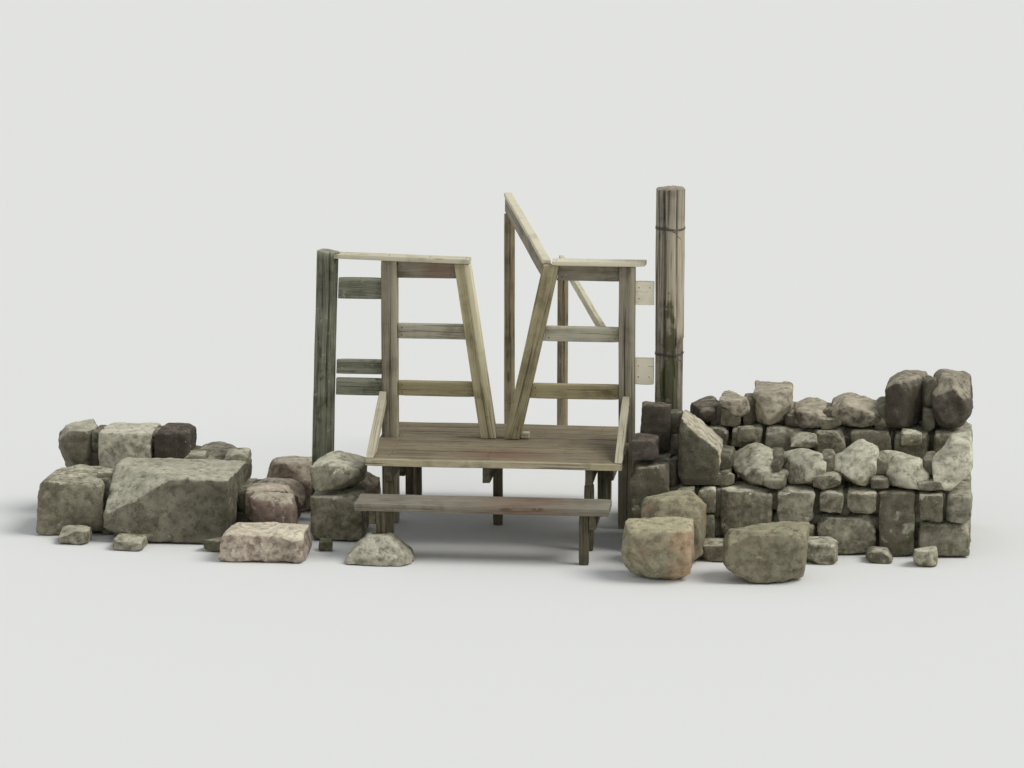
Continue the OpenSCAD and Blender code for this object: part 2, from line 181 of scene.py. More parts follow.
def newMaterial(name):
    material = bpy.data.materials.new(name)
    material.use_nodes = True
    tree = NodeTree(material.node_tree)
    shader = tree.node("ShaderNodeBsdfPrincipled", {})
    tree.node("ShaderNodeOutputMaterial", {0: shader.outputs[0]})
    return material, tree, shader


# Finishes

mossColours = (paint(58, 62, 34), paint(88, 92, 52))
lichenColour = paint(172, 174, 146)
crackColour = paint(48, 44, 35)
stainColour = paint(122, 86, 68)


def weatheredWood(name, colours, moss, lichen, checks=0.62):
    # the pattern follows each board: the "grain" attribute holds metres along and across it
    material, tree, shader = newMaterial(name)
    pale, mid, dark, bareAndHighlight = (paint(*colour) for colour in colours)
    grain = tree.vector("grain")
    place = tree.place()

    bands = tree.noise(tree.stretch(grain, (1.4, 24, 24)), 1.0, 4, 0.6, 0.6)
    fibres = tree.noise(tree.stretch(grain, (6, 210, 210)), 1.0, 5, 0.7, 0.3)
    blotches = tree.noise(grain, 6.5, 5, 0.6)
    splits = tree.noise(tree.stretch(grain, (1.1, 62, 62)), 1.0, 3, 0.55, 0.25)

    # growth rings round a heart that lies off the board's own middle
    offset = tree.vectorMath("ADD", tree.stretch(grain, (0.0, 1.0, 1.0)), (0.0, 0.021, 0.034))
    heart = tree.node("ShaderNodeVectorMath", {0: offset}, operation="LENGTH").outputs["Value"]
    sway = tree.noise(tree.stretch(grain, (1.8, 9, 9)), 1.0, 3, 0.5)
    ringed = tree.math("SINE", tree.times(tree.plus(heart, tree.times(sway, 0.045)), 760.0))
    knots = tree.ranged(tree.cells(tree.stretch(grain, (3.1, 8.5, 8.5)), 1.0), 0.16, 0.08)

    level = tree.plus(tree.times(bands, 0.55), tree.plus(tree.times(fibres, 0.5), tree.times(ringed, 0.045)))
    ramp = tree.node("ShaderNodeValToRGB", {0: level})
    ramp.color_ramp.elements[0].position = 0.36
    ramp.color_ramp.elements[0].color = dark
    ramp.color_ramp.elements[1].position = 0.68
    ramp.color_ramp.elements[1].color = pale
    ramp.color_ramp.elements.new(0.5).color = mid

    # the bare colour is bare wood and also the painted highlights
    colour = tree.mix(tree.number("bareAndHighlight"), ramp.outputs[0], tree.mix(fibres, mid, bareAndHighlight))
    colour = tree.mix(tree.ranged(blotches, 0.36, 0.68, 0.0, 0.42), colour, pale)
    colour = tree.mix(tree.ranged(blotches, 0.5, 0.3, 0.0, 0.45), colour, dark)
    colour = tree.mix(tree.times(knots, 0.7), colour, dark)
    cracks = tree.ranged(splits, checks, checks + 0.055)
    colour = tree.mix(tree.times(cracks, 0.62), colour, crackColour)

    # paler on faces that look up, partly sun bleaching and partly painted top light; green where it stays
    # damp
    colour = tree.mix(tree.ranged(tree.heightOf(tree.normal()), 0.35, 0.95, 0.0, 0.30), colour, pale)
    colour = tree.mix(tree.number("stain"), colour, stainColour)
    mossWhere = tree.plus(tree.times(tree.number("moss"), 0.36), tree.noise(place, 9.0, 6, 0.65))
    mossMask = tree.ranged(mossWhere, 0.74 - moss * 0.4, 0.86 - moss * 0.4)
    mossTint = tree.mix(tree.noise(place, 46.0, 4), *mossColours)
    colour = tree.mix(tree.times(mossMask, 0.8), colour, mossTint)
    crust = tree.noise(place, 21.0, 6, 0.62)
    crustMask = tree.ranged(crust, 0.70 - lichen * 0.35, 0.745 - lichen * 0.35)
    colour = tree.mix(tree.times(crustMask, 0.55), colour, lichenColour)

    grown = tree.plus(tree.times(bands, 0.35), tree.times(mossMask, 0.5))
    height = tree.minus(tree.plus(tree.times(fibres, 0.5), grown), tree.times(cracks, 0.9))
    tree.fill(shader, {
        "Base Color": tree.toned(colour, 0.80, 1.20),
        "Roughness": tree.ranged(fibres, 0.3, 0.7, 0.92, 0.78),
        "Specular IOR Level": 0.25,
        "Normal": tree.bump(height, 0.7, 0.004)})
    return material


def fieldStone(name, colours, crustAmount, mossAmount):
    # the "shift" attribute gives each stone a place of its own in the pattern
    material, tree, shader = newMaterial(name)
    main, second, dark, crustColour = (paint(*colour) for colour in colours)
    place = tree.place()
    shifted = tree.vectorMath("ADD", place, tree.vector("shift"))
    pits = tree.number("pit")

    cloud = tree.noise(shifted, 4.2, 6, 0.6, 0.4)
    mottle = tree.noise(shifted, 22.0, 6, 0.68)
    grit = tree.noise(shifted, 130.0, 3, 0.6)
    hue = tree.plus(cloud, tree.times(tree.minus(tree.number("hue"), 0.5), 0.3))
    colour = tree.mix(tree.ranged(hue, 0.36, 0.64), main, second)
    # the pale layer gives a paler crust, random from stone to stone, and painted top light on faces that look
    # up
    paleAndTopLight = tree.plus(tree.number("pale"), tree.times(tree.minus(mottle, 0.5), 1.1))
    colour = tree.mix(tree.ranged(paleAndTopLight, 0.10, 0.80, 0.0, 0.95), colour, crustColour)
    colour = tree.mix(tree.ranged(mottle, 0.54, 0.34, 0.0, 0.6), colour, dark)
    colour = tree.mix(tree.ranged(grit, 0.42, 0.28, 0.0, 0.5), colour, dark)
    colour = tree.mix(tree.ranged(grit, 0.60, 0.72, 0.0, 0.4), colour, crustColour)
    # painted shade: darker in the hollows that the pit layer marks
    colour = tree.mix(tree.times(pits, 0.55), colour, dark)

    # crusts of pale lichen, most on the faces that look up, where they also paint top light, and round spots
    facingUp = tree.ranged(tree.heightOf(tree.normal()), -0.2, 0.9)
    crustAndTopLight = tree.plus(tree.noise(shifted, 8.5, 7, 0.66), tree.times(facingUp, 0.10))
    crustMask = tree.ranged(crustAndTopLight, 0.72 - crustAmount * 0.3, 0.80 - crustAmount * 0.3)
    warped = tree.vectorMath("MULTIPLY", shifted, tree.noise(shifted, 30.0, 3.0, 0.5, output=1))
    spots = tree.times(tree.ranged(tree.cells(warped, 11.0), 0.30, 0.22), 0.45)
    crustMask = tree.math("MAXIMUM", crustMask, spots)
    crustTint = tree.mix(tree.ranged(mottle, 0.35, 0.65), crustColour, main)
    colour = tree.mix(tree.times(crustMask, 0.82), colour, crustTint)

    # damp and green near the ground and in the hollows
    low = tree.ranged(tree.heightOf(place), 0.30, 0.0, 0.0, 0.07)
    mossWhere = tree.plus(tree.plus(tree.noise(shifted, 6.0, 6, 0.62), low), tree.times(pits, 0.08))
    mossMask = tree.ranged(mossWhere, 0.70 - mossAmount * 0.3, 0.82 - mossAmount * 0.3)
    colour = tree.mix(tree.times(mossMask, 0.7), colour, tree.mix(grit, *mossColours))

    rough = tree.plus(tree.times(grit, 0.28), tree.times(crustMask, 0.2))
    tree.fill(shader, {
        "Base Color": tree.toned(colour, 0.68, 1.32),
        "Roughness": 0.92,
        "Specular IOR Level": 0.2,
        "Normal": tree.bump(tree.plus(tree.times(mottle, 0.8), rough), 0.8, 0.010)})
    return material


def rustyMetal(name, steel, rust, roughness):
    material, tree, shader = newMaterial(name)
    patches = tree.noise(tree.place(), 55.0, 5, 0.6)
    tree.fill(shader, {
        "Base Color": tree.mix(tree.ranged(patches, 0.38, 0.58), steel, rust),
        "Metallic": 0.35,
        "Roughness": roughness,
        "Normal": tree.bump(patches, 0.5, 0.001)})
    return material


# pale, mid, dark and bare wood, the bare colour also giving painted highlights, then moss, lichen and the
# level that drying cracks start from
woods = {
    "cap_timber": (
        "bleachedWood", ((216, 209, 185), (195, 187, 160), (145, 136, 111), (225, 216, 193)), 0.0, 0.0, 0.64),
    "link_timber": (
        "creamWood", ((238, 229, 204), (222, 213, 188), (166, 156, 130), (244, 236, 214)), 0.0, 0.0, 0.64),
    "frame_timber": (
        "silverWood", ((159, 152, 133), (129, 121, 102), (92, 84, 68), (194, 185, 161)), 0.10, 0.10),
    "rail_timber": (
        "paleRailWood", ((197, 192, 172), (164, 158, 137), (116, 110, 90), (208, 199, 177)), 0.05, 0.12),
    "tan_rail_timber": (
        "tanRailWood", ((174, 164, 128), (144, 133, 100), (102, 93, 66), (186, 174, 137)), 0.12, 0.05),
    "squeeze_timber": (
        "squeezeWood", ((186, 177, 142), (151, 140, 108), (102, 93, 67), (252, 245, 212)), 0.14, 0.08),
    "deck_timber": (
        "treadWood", ((150, 139, 115), (117, 106, 86), (80, 70, 54), (232, 220, 184)), 0.16, 0.05),
    "step_timber": (
        "stepWood", ((154, 149, 134), (120, 114, 98), (79, 71, 56), (165, 160, 143)), 0.10, 0.12),
    "under_timber": (
        "dampWood", ((118, 111, 90), (86, 80, 62), (54, 49, 36), (140, 132, 108)), 0.30, 0.05),
    "stake_timber": (
        "stakeWood", ((160, 148, 120), (126, 114, 90), (82, 73, 55), (176, 165, 138)), 0.20, 0.10),
    "mossy_timber": (
        "mossyWood", ((150, 150, 131), (107, 107, 89), (64, 64, 52), (204, 207, 182)), 0.34, 0.28),
    "strainer_timber": (
        "splitLogWood", ((173, 163, 146), (139, 131, 116), (90, 83, 68), (220, 209, 177)), 0.16, 0.16, 0.58),
}

# main, second, dark and crust colour, then crust and moss
rocks = {
    "pale_stone": (
        "paleStone", ((174, 169, 152), (145, 140, 121), (95, 90, 75), (216, 210, 189)), 0.42, 0.05),
    "leaning_stone": (
        "leaningStone", ((122, 118, 100), (98, 94, 78), (58, 54, 43), (226, 217, 192)), 0.22, 0.12),
    "grey_stone": (
        "greyStone", ((145, 140, 121), (114, 108, 90), (73, 67, 54), (206, 202, 180)), 0.36, 0.20),
    "dark_stone": (
        "darkStone", ((108, 99, 90), (83, 76, 67), (52, 47, 39), (179, 170, 150)), 0.20, 0.20),
    "pink_stone": (
        "pinkStone", ((165, 142, 127), (146, 129, 119), (93, 76, 64), (212, 204, 182)), 0.48, 0.10),
    "tan_stone": (
        "tanStone", ((150, 145, 122), (176, 150, 122), (94, 82, 62), (186, 180, 149)), 0.34, 0.16),
}
finishes = {finish: weatheredWood(*row) for finish, row in woods.items()}
finishes.update({finish: fieldStone(*row) for finish, row in rocks.items()})
finishes["iron"] = rustyMetal("rustyIron", paint(96, 92, 86), paint(92, 62, 44), 0.75)
finishes["wire"] = rustyMetal("dullWire", paint(88, 86, 82), paint(66, 54, 44), 0.55)
print("finishes made,", len(finishes))

# the slot of each finish whose own name is no slot
slotOf = {
    "link_timber": "frame_timber", "rail_timber": "frame_timber", "tan_rail_timber": "frame_timber",
    "step_timber": "deck_timber", "stake_timber": "under_timber", "leaning_stone": "pale_stone",
    "iron": None, "wire": None,
}


# Making pieces

mergeGap = 0.00002
cutGap = 0.000005
softAngle = math.radians(34)
flatAngle = math.radians(0.6)
alongX, alongY, alongZ = (1, 0, 0), (0, 1, 0), (0, 0, 1)


def finishPiece(name, parts, finish, stands=(), slotName=None):
    whole = bmesh.new()
    for part in parts:
        step = bpy.data.meshes.new("step")
        part.to_mesh(step)
        whole.from_mesh(step)
        bpy.data.meshes.remove(step)
        part.free()
    for edge in whole.edges:
        edge.smooth = len(edge.link_faces) == 2 and edge.calc_face_angle(0) < softAngle
    for face in whole.faces:
        face.smooth = True
    mesh = bpy.data.meshes.new(name)
    whole.to_mesh(mesh)
    whole.free()
    mesh.materials.append(finishes[finish])
    piece = bpy.data.objects.new(name, mesh)
    scene.collection.objects.link(piece)
    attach(piece, "root")
    slotName = slotName or slotOf.get(finish, finish)
    if stands:
        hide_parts(*stands)


def partBox(part):
    low = Vector([min(v.co[i] for v in part.verts) for i in range(3)])
    high = Vector([max(v.co[i] for v in part.verts) for i in range(3)])
    return low, high


def solidsOf(nodeName):
    # one bmesh for each separate solid of a CAD node, with its flat faces whole
    whole = bmesh.new()
    whole.from_mesh(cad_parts[nodeName].data)
    bmesh.ops.remove_doubles(whole, verts=whole.verts, dist=mergeGap)
    whole.verts.index_update()
    groups, seen = [], set()
    for start in whole.verts:
        if start.index in seen:
            continue
        group, queue = {start.index}, [start]
        while queue:
            for edge in queue.pop().link_edges:
                for vert in edge.verts:
                    if vert.index not in group:
                        group.add(vert.index)
                        queue.append(vert)
        seen |= group
        groups.append(group)
    parts = []
    for group in groups:
        part = whole.copy()
        part.verts.index_update()
        bmesh.ops.delete(part, geom=[v for v in part.verts if v.index not in group], context="VERTS")
        bmesh.ops.dissolve_limit(part, angle_limit=flatAngle, verts=part.verts, edges=part.edges)
        parts.append(part)
    whole.free()
    return sorted(parts, key=lambda p: tuple(round(c, 4) for c in partBox(p)[0]))


def moved(part, offset):
    bmesh.ops.translate(part, vec=Vector(offset), verts=part.verts)


def turned(part, angle, axis):
    bmesh.ops.rotate(part, cent=(0, 0, 0), matrix=Matrix.Rotation(angle, 3, axis), verts=part.verts)


def boxPart(low, high):
    part = bmesh.new()
    bmesh.ops.create_cube(part, size=1)
    bmesh.ops.scale(part, vec=Vector(high) - Vector(low), verts=part.verts)
    moved(part, (Vector(low) + Vector(high)) / 2)
    return part


def slicePart(part, axis, spots):
    for spot in spots:
        bmesh.ops.bisect_plane(part, geom=part.verts[:] + part.edges[:] + part.faces[:],
                               dist=cutGap, plane_co=axis * spot, plane_no=axis)


def evenSpots(part, axis, spacing):
    reach = [v.co.dot(axis) for v in part.verts]
    low, high = min(reach), max(reach)
    count = max(1, round((high - low) / spacing))
    return [low + (high - low) * i / count for i in range(1, count)]


def boardAxes(along):
    along = Vector(along).normalized()
    across = Vector(alongY) if abs(along.y) < 0.9 else Vector(alongX)
    up = along.cross(across).normalized()
    return along, up.cross(along).normalized(), up


def drawCrack(chance, look, reach, along, across, up):
    # a drying crack in a side or a broad face, or None where that face is too narrow for one
    onSide = chance.random() < look["sideCracks"]
    widthKey, widthAxis, faceAxis = ("up", up, across) if onSide else ("across", across, up)
    low, high = reach[widthKey]
    if high - low < look["crackRoom"]:
        return None
    near, far = reach["along"]
    length = (far - near) * chance.uniform(0.25, 0.7)
    start = chance.uniform(near - length * 0.3, far - length * 0.7)
    return {
        "axis": widthAxis, "face": faceAxis * chance.choice((-1, 1)),
        "middle": low + (high - low) * chance.uniform(0.22, 0.78),
        "start": start, "end": start + length,
        "depth": look["crackDepth"] * chance.uniform(0.5, 1.0),
        "half": look["crackWidth"] / 2 * chance.uniform(0.6, 1.0)}


def crackMove(crack, vert, alongSpot):
    # how a crack moves one point: it opens a wandering groove that tapers to both ends
    gap = vert.co.dot(crack["axis"]) - crack["middle"]
    beside = abs(gap) < crack["half"] * 1.01 and vert.normal.dot(crack["face"]) > 0.6
    if not beside or not crack["start"] < alongSpot < crack["end"]:
        return Vector()
    alongCrack = (alongSpot - crack["start"]) / (crack["end"] - crack["start"])
    taper = math.sin(math.pi * alongCrack) ** 0.6
    wander = noise.noise(Vector((alongSpot * 5, crack["middle"] * 90, 3.0))) * 0.004
    move = crack["axis"] * wander * taper
    if abs(gap) < crack["half"] * 0.5:
        move -= crack["face"] * crack["depth"] * taper
    return move


def wornBoard(part, along, look, seed):
    # cut into small faces, then worn back from its sawn surface, with drying cracks
    chance = random.Random(seed)
    along, across, up = boardAxes(along)
    sharp = [e for e in part.edges if len(e.link_faces) == 2 and e.calc_face_angle(0) > math.radians(60)]
    bmesh.ops.bevel(part, geom=sharp, offset=look["rounding"], offset_type="OFFSET", segments=2,
                    profile=0.5, affect="EDGES", material=-1, clamp_overlap=True)
    reach = {}
    for key, axis in (("along", along), ("across", across), ("up", up)):
        values = [v.co.dot(axis) for v in part.verts]
        reach[key] = (min(values), max(values))
    cracks = [drawCrack(chance, look, reach, along, across, up) for i in range(look["cracks"])]
    cracks = [crack for crack in cracks if crack]
    slicePart(part, along, evenSpots(part, along, look["step"]))
    slicePart(part, across, evenSpots(part, across, look["cut"]))
    slicePart(part, up, evenSpots(part, up, look["cut"]))
    for crack in cracks:
        slicePart(part, crack["axis"], [crack["middle"] + side * crack["half"] for side in (-1, 0, 1)])

    part.normal_update()
    grainLayer = part.verts.layers.float_vector.new("grain")
    toneLayer = part.verts.layers.float.new("tone")
    tone = chance.uniform(*look["tones"])
    shift = Vector([chance.uniform(-4, 4) for i in range(3)])
    grainShift = Vector((shift[0], shift[1] * 0.01, shift[2] * 0.01))
    middle = [(reach[k][0] + reach[k][1]) / 2 for k in ("along", "across", "up")]
    near, far = reach["along"]
    moves = []
    for vert in part.verts:
        spot = Vector((vert.co.dot(along), vert.co.dot(across), vert.co.dot(up)))
        vert[grainLayer] = Vector((spot[i] - middle[i] for i in range(3))) + grainShift
        vert[toneLayer] = tone
        ridges = noise.fractal(Vector((spot.x * 2.2, spot.y * 34, spot.z * 34)) + shift, 0.8, 2.1, 3)
        broad = noise.noise(Vector((spot.x * 3.2, spot.y * 9, spot.z * 9)) + shift * 2)
        t = (spot.x - near) / (far - near)
        ends = fadeOut(0, look["endReach"] / (far - near), min(t, 1 - t))
        wear = look["wear"] * (0.55 + 0.45 * ridges + 0.5 * broad) + look["endWear"] * ends * (0.5 + broad)
        sway = look["warp"] * math.sin(math.pi * clamped(t))
        move = -vert.normal * max(0.0, wear)
        move += across * sway * noise.noise(Vector((spot.x * 1.3, 7.1, 2.0)) + shift)
        move += up * sway * noise.noise(Vector((spot.x * 1.1, 1.3, 9.0)) + shift)
        for crack in cracks:
            move += crackMove(crack, vert, spot.x)
        moves.append(move)
    for vert, move in zip(part.verts, moves):
        vert.co += move
    return part


def paintLayer(part, layerName, rule):
    # rule gives 0 to 1 for a vertex
    layer = part.verts.layers.float.get(layerName) or part.verts.layers.float.new(layerName)
    part.normal_update()
    for vert in part.verts:
        vert[layer] = clamped(rule(vert))


def liftTone(part, rule):
    layer = part.verts.layers.float["tone"]
    paintLayer(part, "tone", lambda v: v[layer] + rule(v))


# Timbers

sawnLook = {
    "rounding": 0.004, "step": 0.045, "cut": 0.013, "wear": 0.0022, "endWear": 0.003, "endReach": 0.05,
    "warp": 0.003, "cracks": 3, "sideCracks": 0.5, "crackDepth": 0.012, "crackWidth": 0.006,
    "crackRoom": 0.04, "tones": (0.3, 0.7),
}
boardLook = dict(sawnLook, cracks=2, sideCracks=0.0, crackDepth=0.009, cut=0.012, wear=0.003, warp=0.004)
capLook = dict(sawnLook, rounding=0.005, cracks=3, sideCracks=0.0, crackDepth=0.008, warp=0.003, step=0.04)
thinLook = dict(sawnLook, cracks=1, sideCracks=1.0, warp=0.002, wear=0.0018)

deckTop = 0.56
leanLeft = (-0.166, 0, 1.11)
leanRight = (0.245, 0, 1.11)
capFall = math.radians(1.3)
strutRise = math.radians(25)
handrailTurn, handrailRise = math.radians(12.8), math.radians(3.3)
fallLeft = (math.cos(capFall), 0, -math.sin(capFall))
strutSlope = (0, math.cos(strutRise), math.sin(strutRise))
handrailWay = (
    -math.sin(handrailTurn) * math.cos(handrailRise),
    math.cos(handrailTurn) * math.cos(handrailRise),
    math.sin(handrailRise))

# nodes, grain direction, look, finish, and the slot where it isn't the finish's own
timbers = (
    ("left_post right_post", alongZ, sawnLook, "frame_timber"),
    ("left_squeeze_post", leanLeft, sawnLook, "squeeze_timber"),
    ("right_squeeze_post", leanRight, sawnLook, "squeeze_timber"),
    ("squeeze_foot_block", alongX, thinLook, "cap_timber", "squeeze_timber"),
    ("left_cap_rail", fallLeft, capLook, "cap_timber"),
    ("right_cap_rail", alongX, capLook, "cap_timber"),
    ("far_handrail_cap", handrailWay, capLook, "cap_timber"),
    ("far_handrail_rail", handrailWay, thinLook, "frame_timber"),
    ("far_low_rail", handrailWay, thinLook, "cap_timber"),
    ("left_top_rail right_top_rail", alongX, thinLook, "frame_timber"),
    ("left_mid_rail right_mid_rail", alongX, thinLook, "rail_timber"),
    ("left_bottom_rail right_bottom_rail", alongX, thinLook, "tan_rail_timber"),
    ("left_link_rails", alongX, thinLook, "mossy_timber", "frame_timber"),
    ("right_link_rails", alongX, thinLook, "link_timber"),
    ("left_strut right_strut", strutSlope, capLook, "cap_timber"),
    ("deck_boards", alongX, boardLook, "deck_timber"),
    ("deck_bearers", alongY, sawnLook, "under_timber"),
    ("deck_front_legs deck_back_legs", alongZ, sawnLook, "under_timber"),
    ("front_step_board back_step_board", alongX, boardLook, "step_timber"),
)
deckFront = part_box("deck_boards")[0].y
deckStain = {"x": 0.02, "back": 0.22, "wide": 0.8, "deep": 1.6}
paleEdge = 0.014


def leanAt(side, z):
    # the middle of a leaning post at a height
    return -(0.120 + 0.1495 * (z - deckTop)) if side == "left" else 0.026 + 0.2207 * (z - deckTop)


# a face that takes the painted highlight: it looks right or to the front
def highlightFace(v):
    return v.normal.x > 0.5 or v.normal.y < -0.5


def boardPaint(nodeName, part):
    # pale noses, painted highlights on lit right sides and top edges, red-brown stains and damp feet
    low, high = partBox(part)

    # used both for pale noses and for painted highlights: paler wood with a raised tone
    def paleAndHighlight(rule, bareAndHighlight, tone):
        paintLayer(part, "bareAndHighlight", lambda v: bareAndHighlight * rule(v))
        liftTone(part, lambda v: tone * rule(v))

    if nodeName == "deck_boards":
        paleAndHighlight(lambda v: 1.0 if v.co.y < deckFront + 0.006 else 0.7 * fadeOut(
            0.004, 0.05, v.co.y - deckFront), 1, 0.35)
        paintLayer(part, "stain", lambda v: 0.55 * fadeOut(0.05, 0.34, math.hypot(
            (v.co.x - deckStain["x"]) * deckStain["wide"],
            (v.co.y - deckFront - deckStain["back"]) * deckStain["deep"])))
    elif nodeName == "front_step_board":
        front, under = low.y + 0.012, high.z - paleEdge
        paintLayer(part, "bareAndHighlight", lambda v: 0.8 * (v.co.y < front and v.co.z > under))
        paintLayer(part, "stain", lambda v: 0.4 * fadeOut(0.05, 0.45, abs(v.co.x - 0.18)) + 0.12 * (
            v.co.y < front and v.co.z < under))
    elif nodeName == "left_squeeze_post":
        # painted highlight on the lit right side, strongest higher up
        paleAndHighlight(lambda v: (0.35 + 0.65 * smoothStep(0.8, 1.3, v.co.z)) * highlightFace(v) * smoothStep(
            0.008, 0.030, v.co.x - leanAt("left", v.co.z)), 1, 0.6)
        paintLayer(part, "moss", lambda v: 0.3 * fadeOut(deckTop, 1.1, v.co.z))
    elif nodeName == "right_squeeze_post":
        paintLayer(part, "moss", lambda v: 0.35 * fadeOut(deckTop, 1.1, v.co.z))
    elif nodeName in ("left_post", "right_post"):
        # painted highlight along the lit right side and right edge
        paleAndHighlight(lambda v: highlightFace(v) * smoothStep(0.016, 0.032, v.co.x - (low.x + high.x) / 2), 0.95, 0.25)
    elif nodeName.endswith(("mid_rail", "bottom_rail", "left_link_rails")):
        # painted highlight along the top edge of the rail
        paleAndHighlight(lambda v: smoothStep(high.z - 0.020, high.z - 0.006, v.co.z), 0.9, 0.3)
    elif nodeName == "left_top_rail":
        paintLayer(part, "stain", lambda v: 0.45 * smoothStep(-0.62, -0.42, v.co.x))
    elif nodeName.endswith("strut"):
        paintLayer(part, "tone", lambda v: 0.15)
    elif nodeName.endswith(("cap_rail", "handrail_cap")):
        paintLayer(part, "bareAndHighlight", lambda v: 0.75)
        if nodeName == "right_cap_rail":
            paintLayer(part, "tone", lambda v: 0.85)
    elif nodeName == "right_link_rails":
        paintLayer(part, "tone", lambda v: 1.0)
        paintLayer(part, "bareAndHighlight", lambda v: 1.0)


seed = 100
for names, along, look, finish, *slotName in timbers:
    for nodeName in names.split():
        parts = []
        for part in solidsOf(nodeName):
            seed += 1
            parts.append(wornBoard(part, along, look, seed))
            boardPaint(nodeName, part)
        finishPiece("worn_" + nodeName, parts, finish, (nodeName,), *slotName)
print("timbers made,", seed - 100)

# Step frames: a leg and the bracket that ties it to the deck's leg
legSide = 0.06
bracketDeep = 0.09
for nodeName in ("front_step_frames", "back_step_frames"):
    parts = []
    for solid in solidsOf(nodeName):
        low, high = partBox(solid)
        solid.free()
        left = low.x + high.x < 0
        legX = (high.x - legSide, high.x) if left else (low.x, low.x + legSide)
        bracketX = (low.x, high.x - legSide) if left else (low.x + legSide, high.x)
        legY = (low.y, low.y + legSide) if nodeName.startswith("front") else (high.y - legSide, high.y)
        seed += 2
        leg = boxPart((legX[0], legY[0], low.z), (legX[1], legY[1], high.z))
        bracket = boxPart((bracketX[0], low.y, high.z - bracketDeep), (bracketX[1], high.y, high.z))
        parts.append(wornBoard(leg, alongZ, sawnLook, seed))
        parts.append(wornBoard(bracket, alongY, thinLook, seed + 1))
    finishPiece("worn_" + nodeName, parts, "under_timber", (nodeName,))
print("step frames made")


# Round posts

def wornLog(radius, length, look, seed):
    # a round post with split and scarred sides and a worn head, its foot at the origin
    chance = random.Random(seed)
    part = bmesh.new()
    bmesh.ops.create_cone(part, cap_ends=True, segments=look["sides"], radius1=radius, radius2=radius,
                          depth=length)
    moved(part, (0, 0, length / 2))
    upright = [e for e in part.edges if abs(e.verts[0].co.z - e.verts[1].co.z) > length / 2]
    cuts = int(length / look["step"])
    bmesh.ops.subdivide_edges(part, edges=upright, cuts=cuts, use_grid_fill=True)
    for inset in (0.07, 0.2, 0.2, 0.2, 0.2):
        top = [f for f in part.faces if len(f.verts) > 8 and f.calc_center_median().z > length / 2]
        bmesh.ops.inset_region(part, faces=top, thickness=radius * inset, depth=0.0, use_even_offset=True)
    part.normal_update()
    grainLayer = part.verts.layers.float_vector.new("grain")
    toneLayer = part.verts.layers.float.new("tone")
    shift = Vector([chance.uniform(-4, 4) for i in range(3)])
    for vert in part.verts:
        x, y, z = vert.co
        out = Vector((x, y, 0))
        turn = math.atan2(y, x)
        vert[grainLayer] = Vector((z + shift.x, x + 0.004 * shift.y, y + 0.004 * shift.z))
        vert[toneLayer] = look["tone"]
        ring = out.length / radius
        if ring < 0.001:
            continue
        way = out.normalized()
        lumps = noise.noise(Vector((way.x * 1.4, way.y * 1.4, z * 1.6)) + shift)
        ribs = noise.fractal(Vector((way.x * 9, way.y * 9, z * 1.2)) + shift, 0.8, 2.1, 3)
        change = -look["lumps"] * (0.5 + 0.5 * lumps) - look["ribs"] * (0.5 + 0.5 * ribs)
        for angle, start, end, depth, width in look["shakes"]:
            bend = angle + 0.22 * noise.noise(Vector((z * 1.7, angle, 0)))
            inside = smoothStep(start, start + 0.12, z)
            if end < length:
                inside *= fadeOut(end - 0.12, end + 0.001, z)
            change -= depth * inside * max(0.0, 1 - turnBetween(turn, bend) * radius / width)
        for angle, half, start, end, depth in look["scars"]:
            edge = end + 0.05 * noise.noise(Vector((turn * 4, 2.0, 5.0)))
            change -= depth * fadeOut(half * 0.8, half, turnBetween(turn, angle)) * fadeOut(
                edge - 0.035, edge, z) * smoothStep(start, start + 0.2, z)
        vert.co += way * change * ring
        if z > length - 0.001:
            worn = noise.fractal(Vector((x * 16, y * 16, 3.0)) + shift, 0.8, 2.1, 3)
            vert.co.z -= look["headWear"] * (0.4 + 0.5 * worn + 0.7 * ring ** 4)
    return part


# shakes are deep splits: angle, start, end, depth, width; scars: angle, half angle, start, end, depth
rightLog = {
    "sides": 80, "step": 0.028, "lumps": 0.010, "ribs": 0.007, "headWear": 0.012, "tone": 0.5,
    "shakes": (
        (-1.95, 0.05, 2.3, 0.030, 0.010), (-1.05, 0.9, 2.3, 0.022, 0.008), (0.35, 1.3, 2.3, 0.020, 0.009),
        (1.7, 0.2, 1.7, 0.022, 0.009), (2.9, 0.6, 2.3, 0.024, 0.009)),
    "scars": ((-0.35, 0.75, 0.0, 1.22, 0.020), (2.3, 0.6, 0.3, 1.75, 0.010)),
}
leftLog = {
    "sides": 64, "step": 0.03, "lumps": 0.009, "ribs": 0.006, "headWear": 0.010, "tone": 0.45,
    "shakes": ((-1.2, 0.7, 1.9, 0.022, 0.008), (-2.3, 0.1, 1.3, 0.018, 0.008), (1.2, 0.4, 1.9, 0.020, 0.008)),
    "scars": ((-1.6, 0.5, 0.1, 0.95, 0.007),),
}
stakeLook = {
    "sides": 40, "step": 0.04, "lumps": 0.005, "ribs": 0.003, "headWear": 0.0005, "tone": 0.5,
    "shakes": ((-1.4, 0.5, 2.2, 0.010, 0.006),),
    "scars": (),
}


def turnOf(vert):
    return math.atan2(vert.co.y, vert.co.x)


def rightLogBare(vert):
    angle = turnOf(vert)
    edge = 1.22 + 0.12 * noise.noise(Vector((angle * 3, 0.5, 0.2)))
    patch = noise.fractal(Vector((angle * 2.5, vert.co.z * 1.5, 4.0)), 0.8, 2.1, 3)
    facing = smoothStep(1.45, 0.95, abs(angle + 0.35)) if abs(angle) < 2.6 else 0
    return facing * smoothStep(edge - 0.05, edge + 0.05, vert.co.z) * (
        1 - 0.8 * smoothStep(1.86, 2.02, vert.co.z)) * smoothStep(-0.45, 0.15, patch + 0.25)


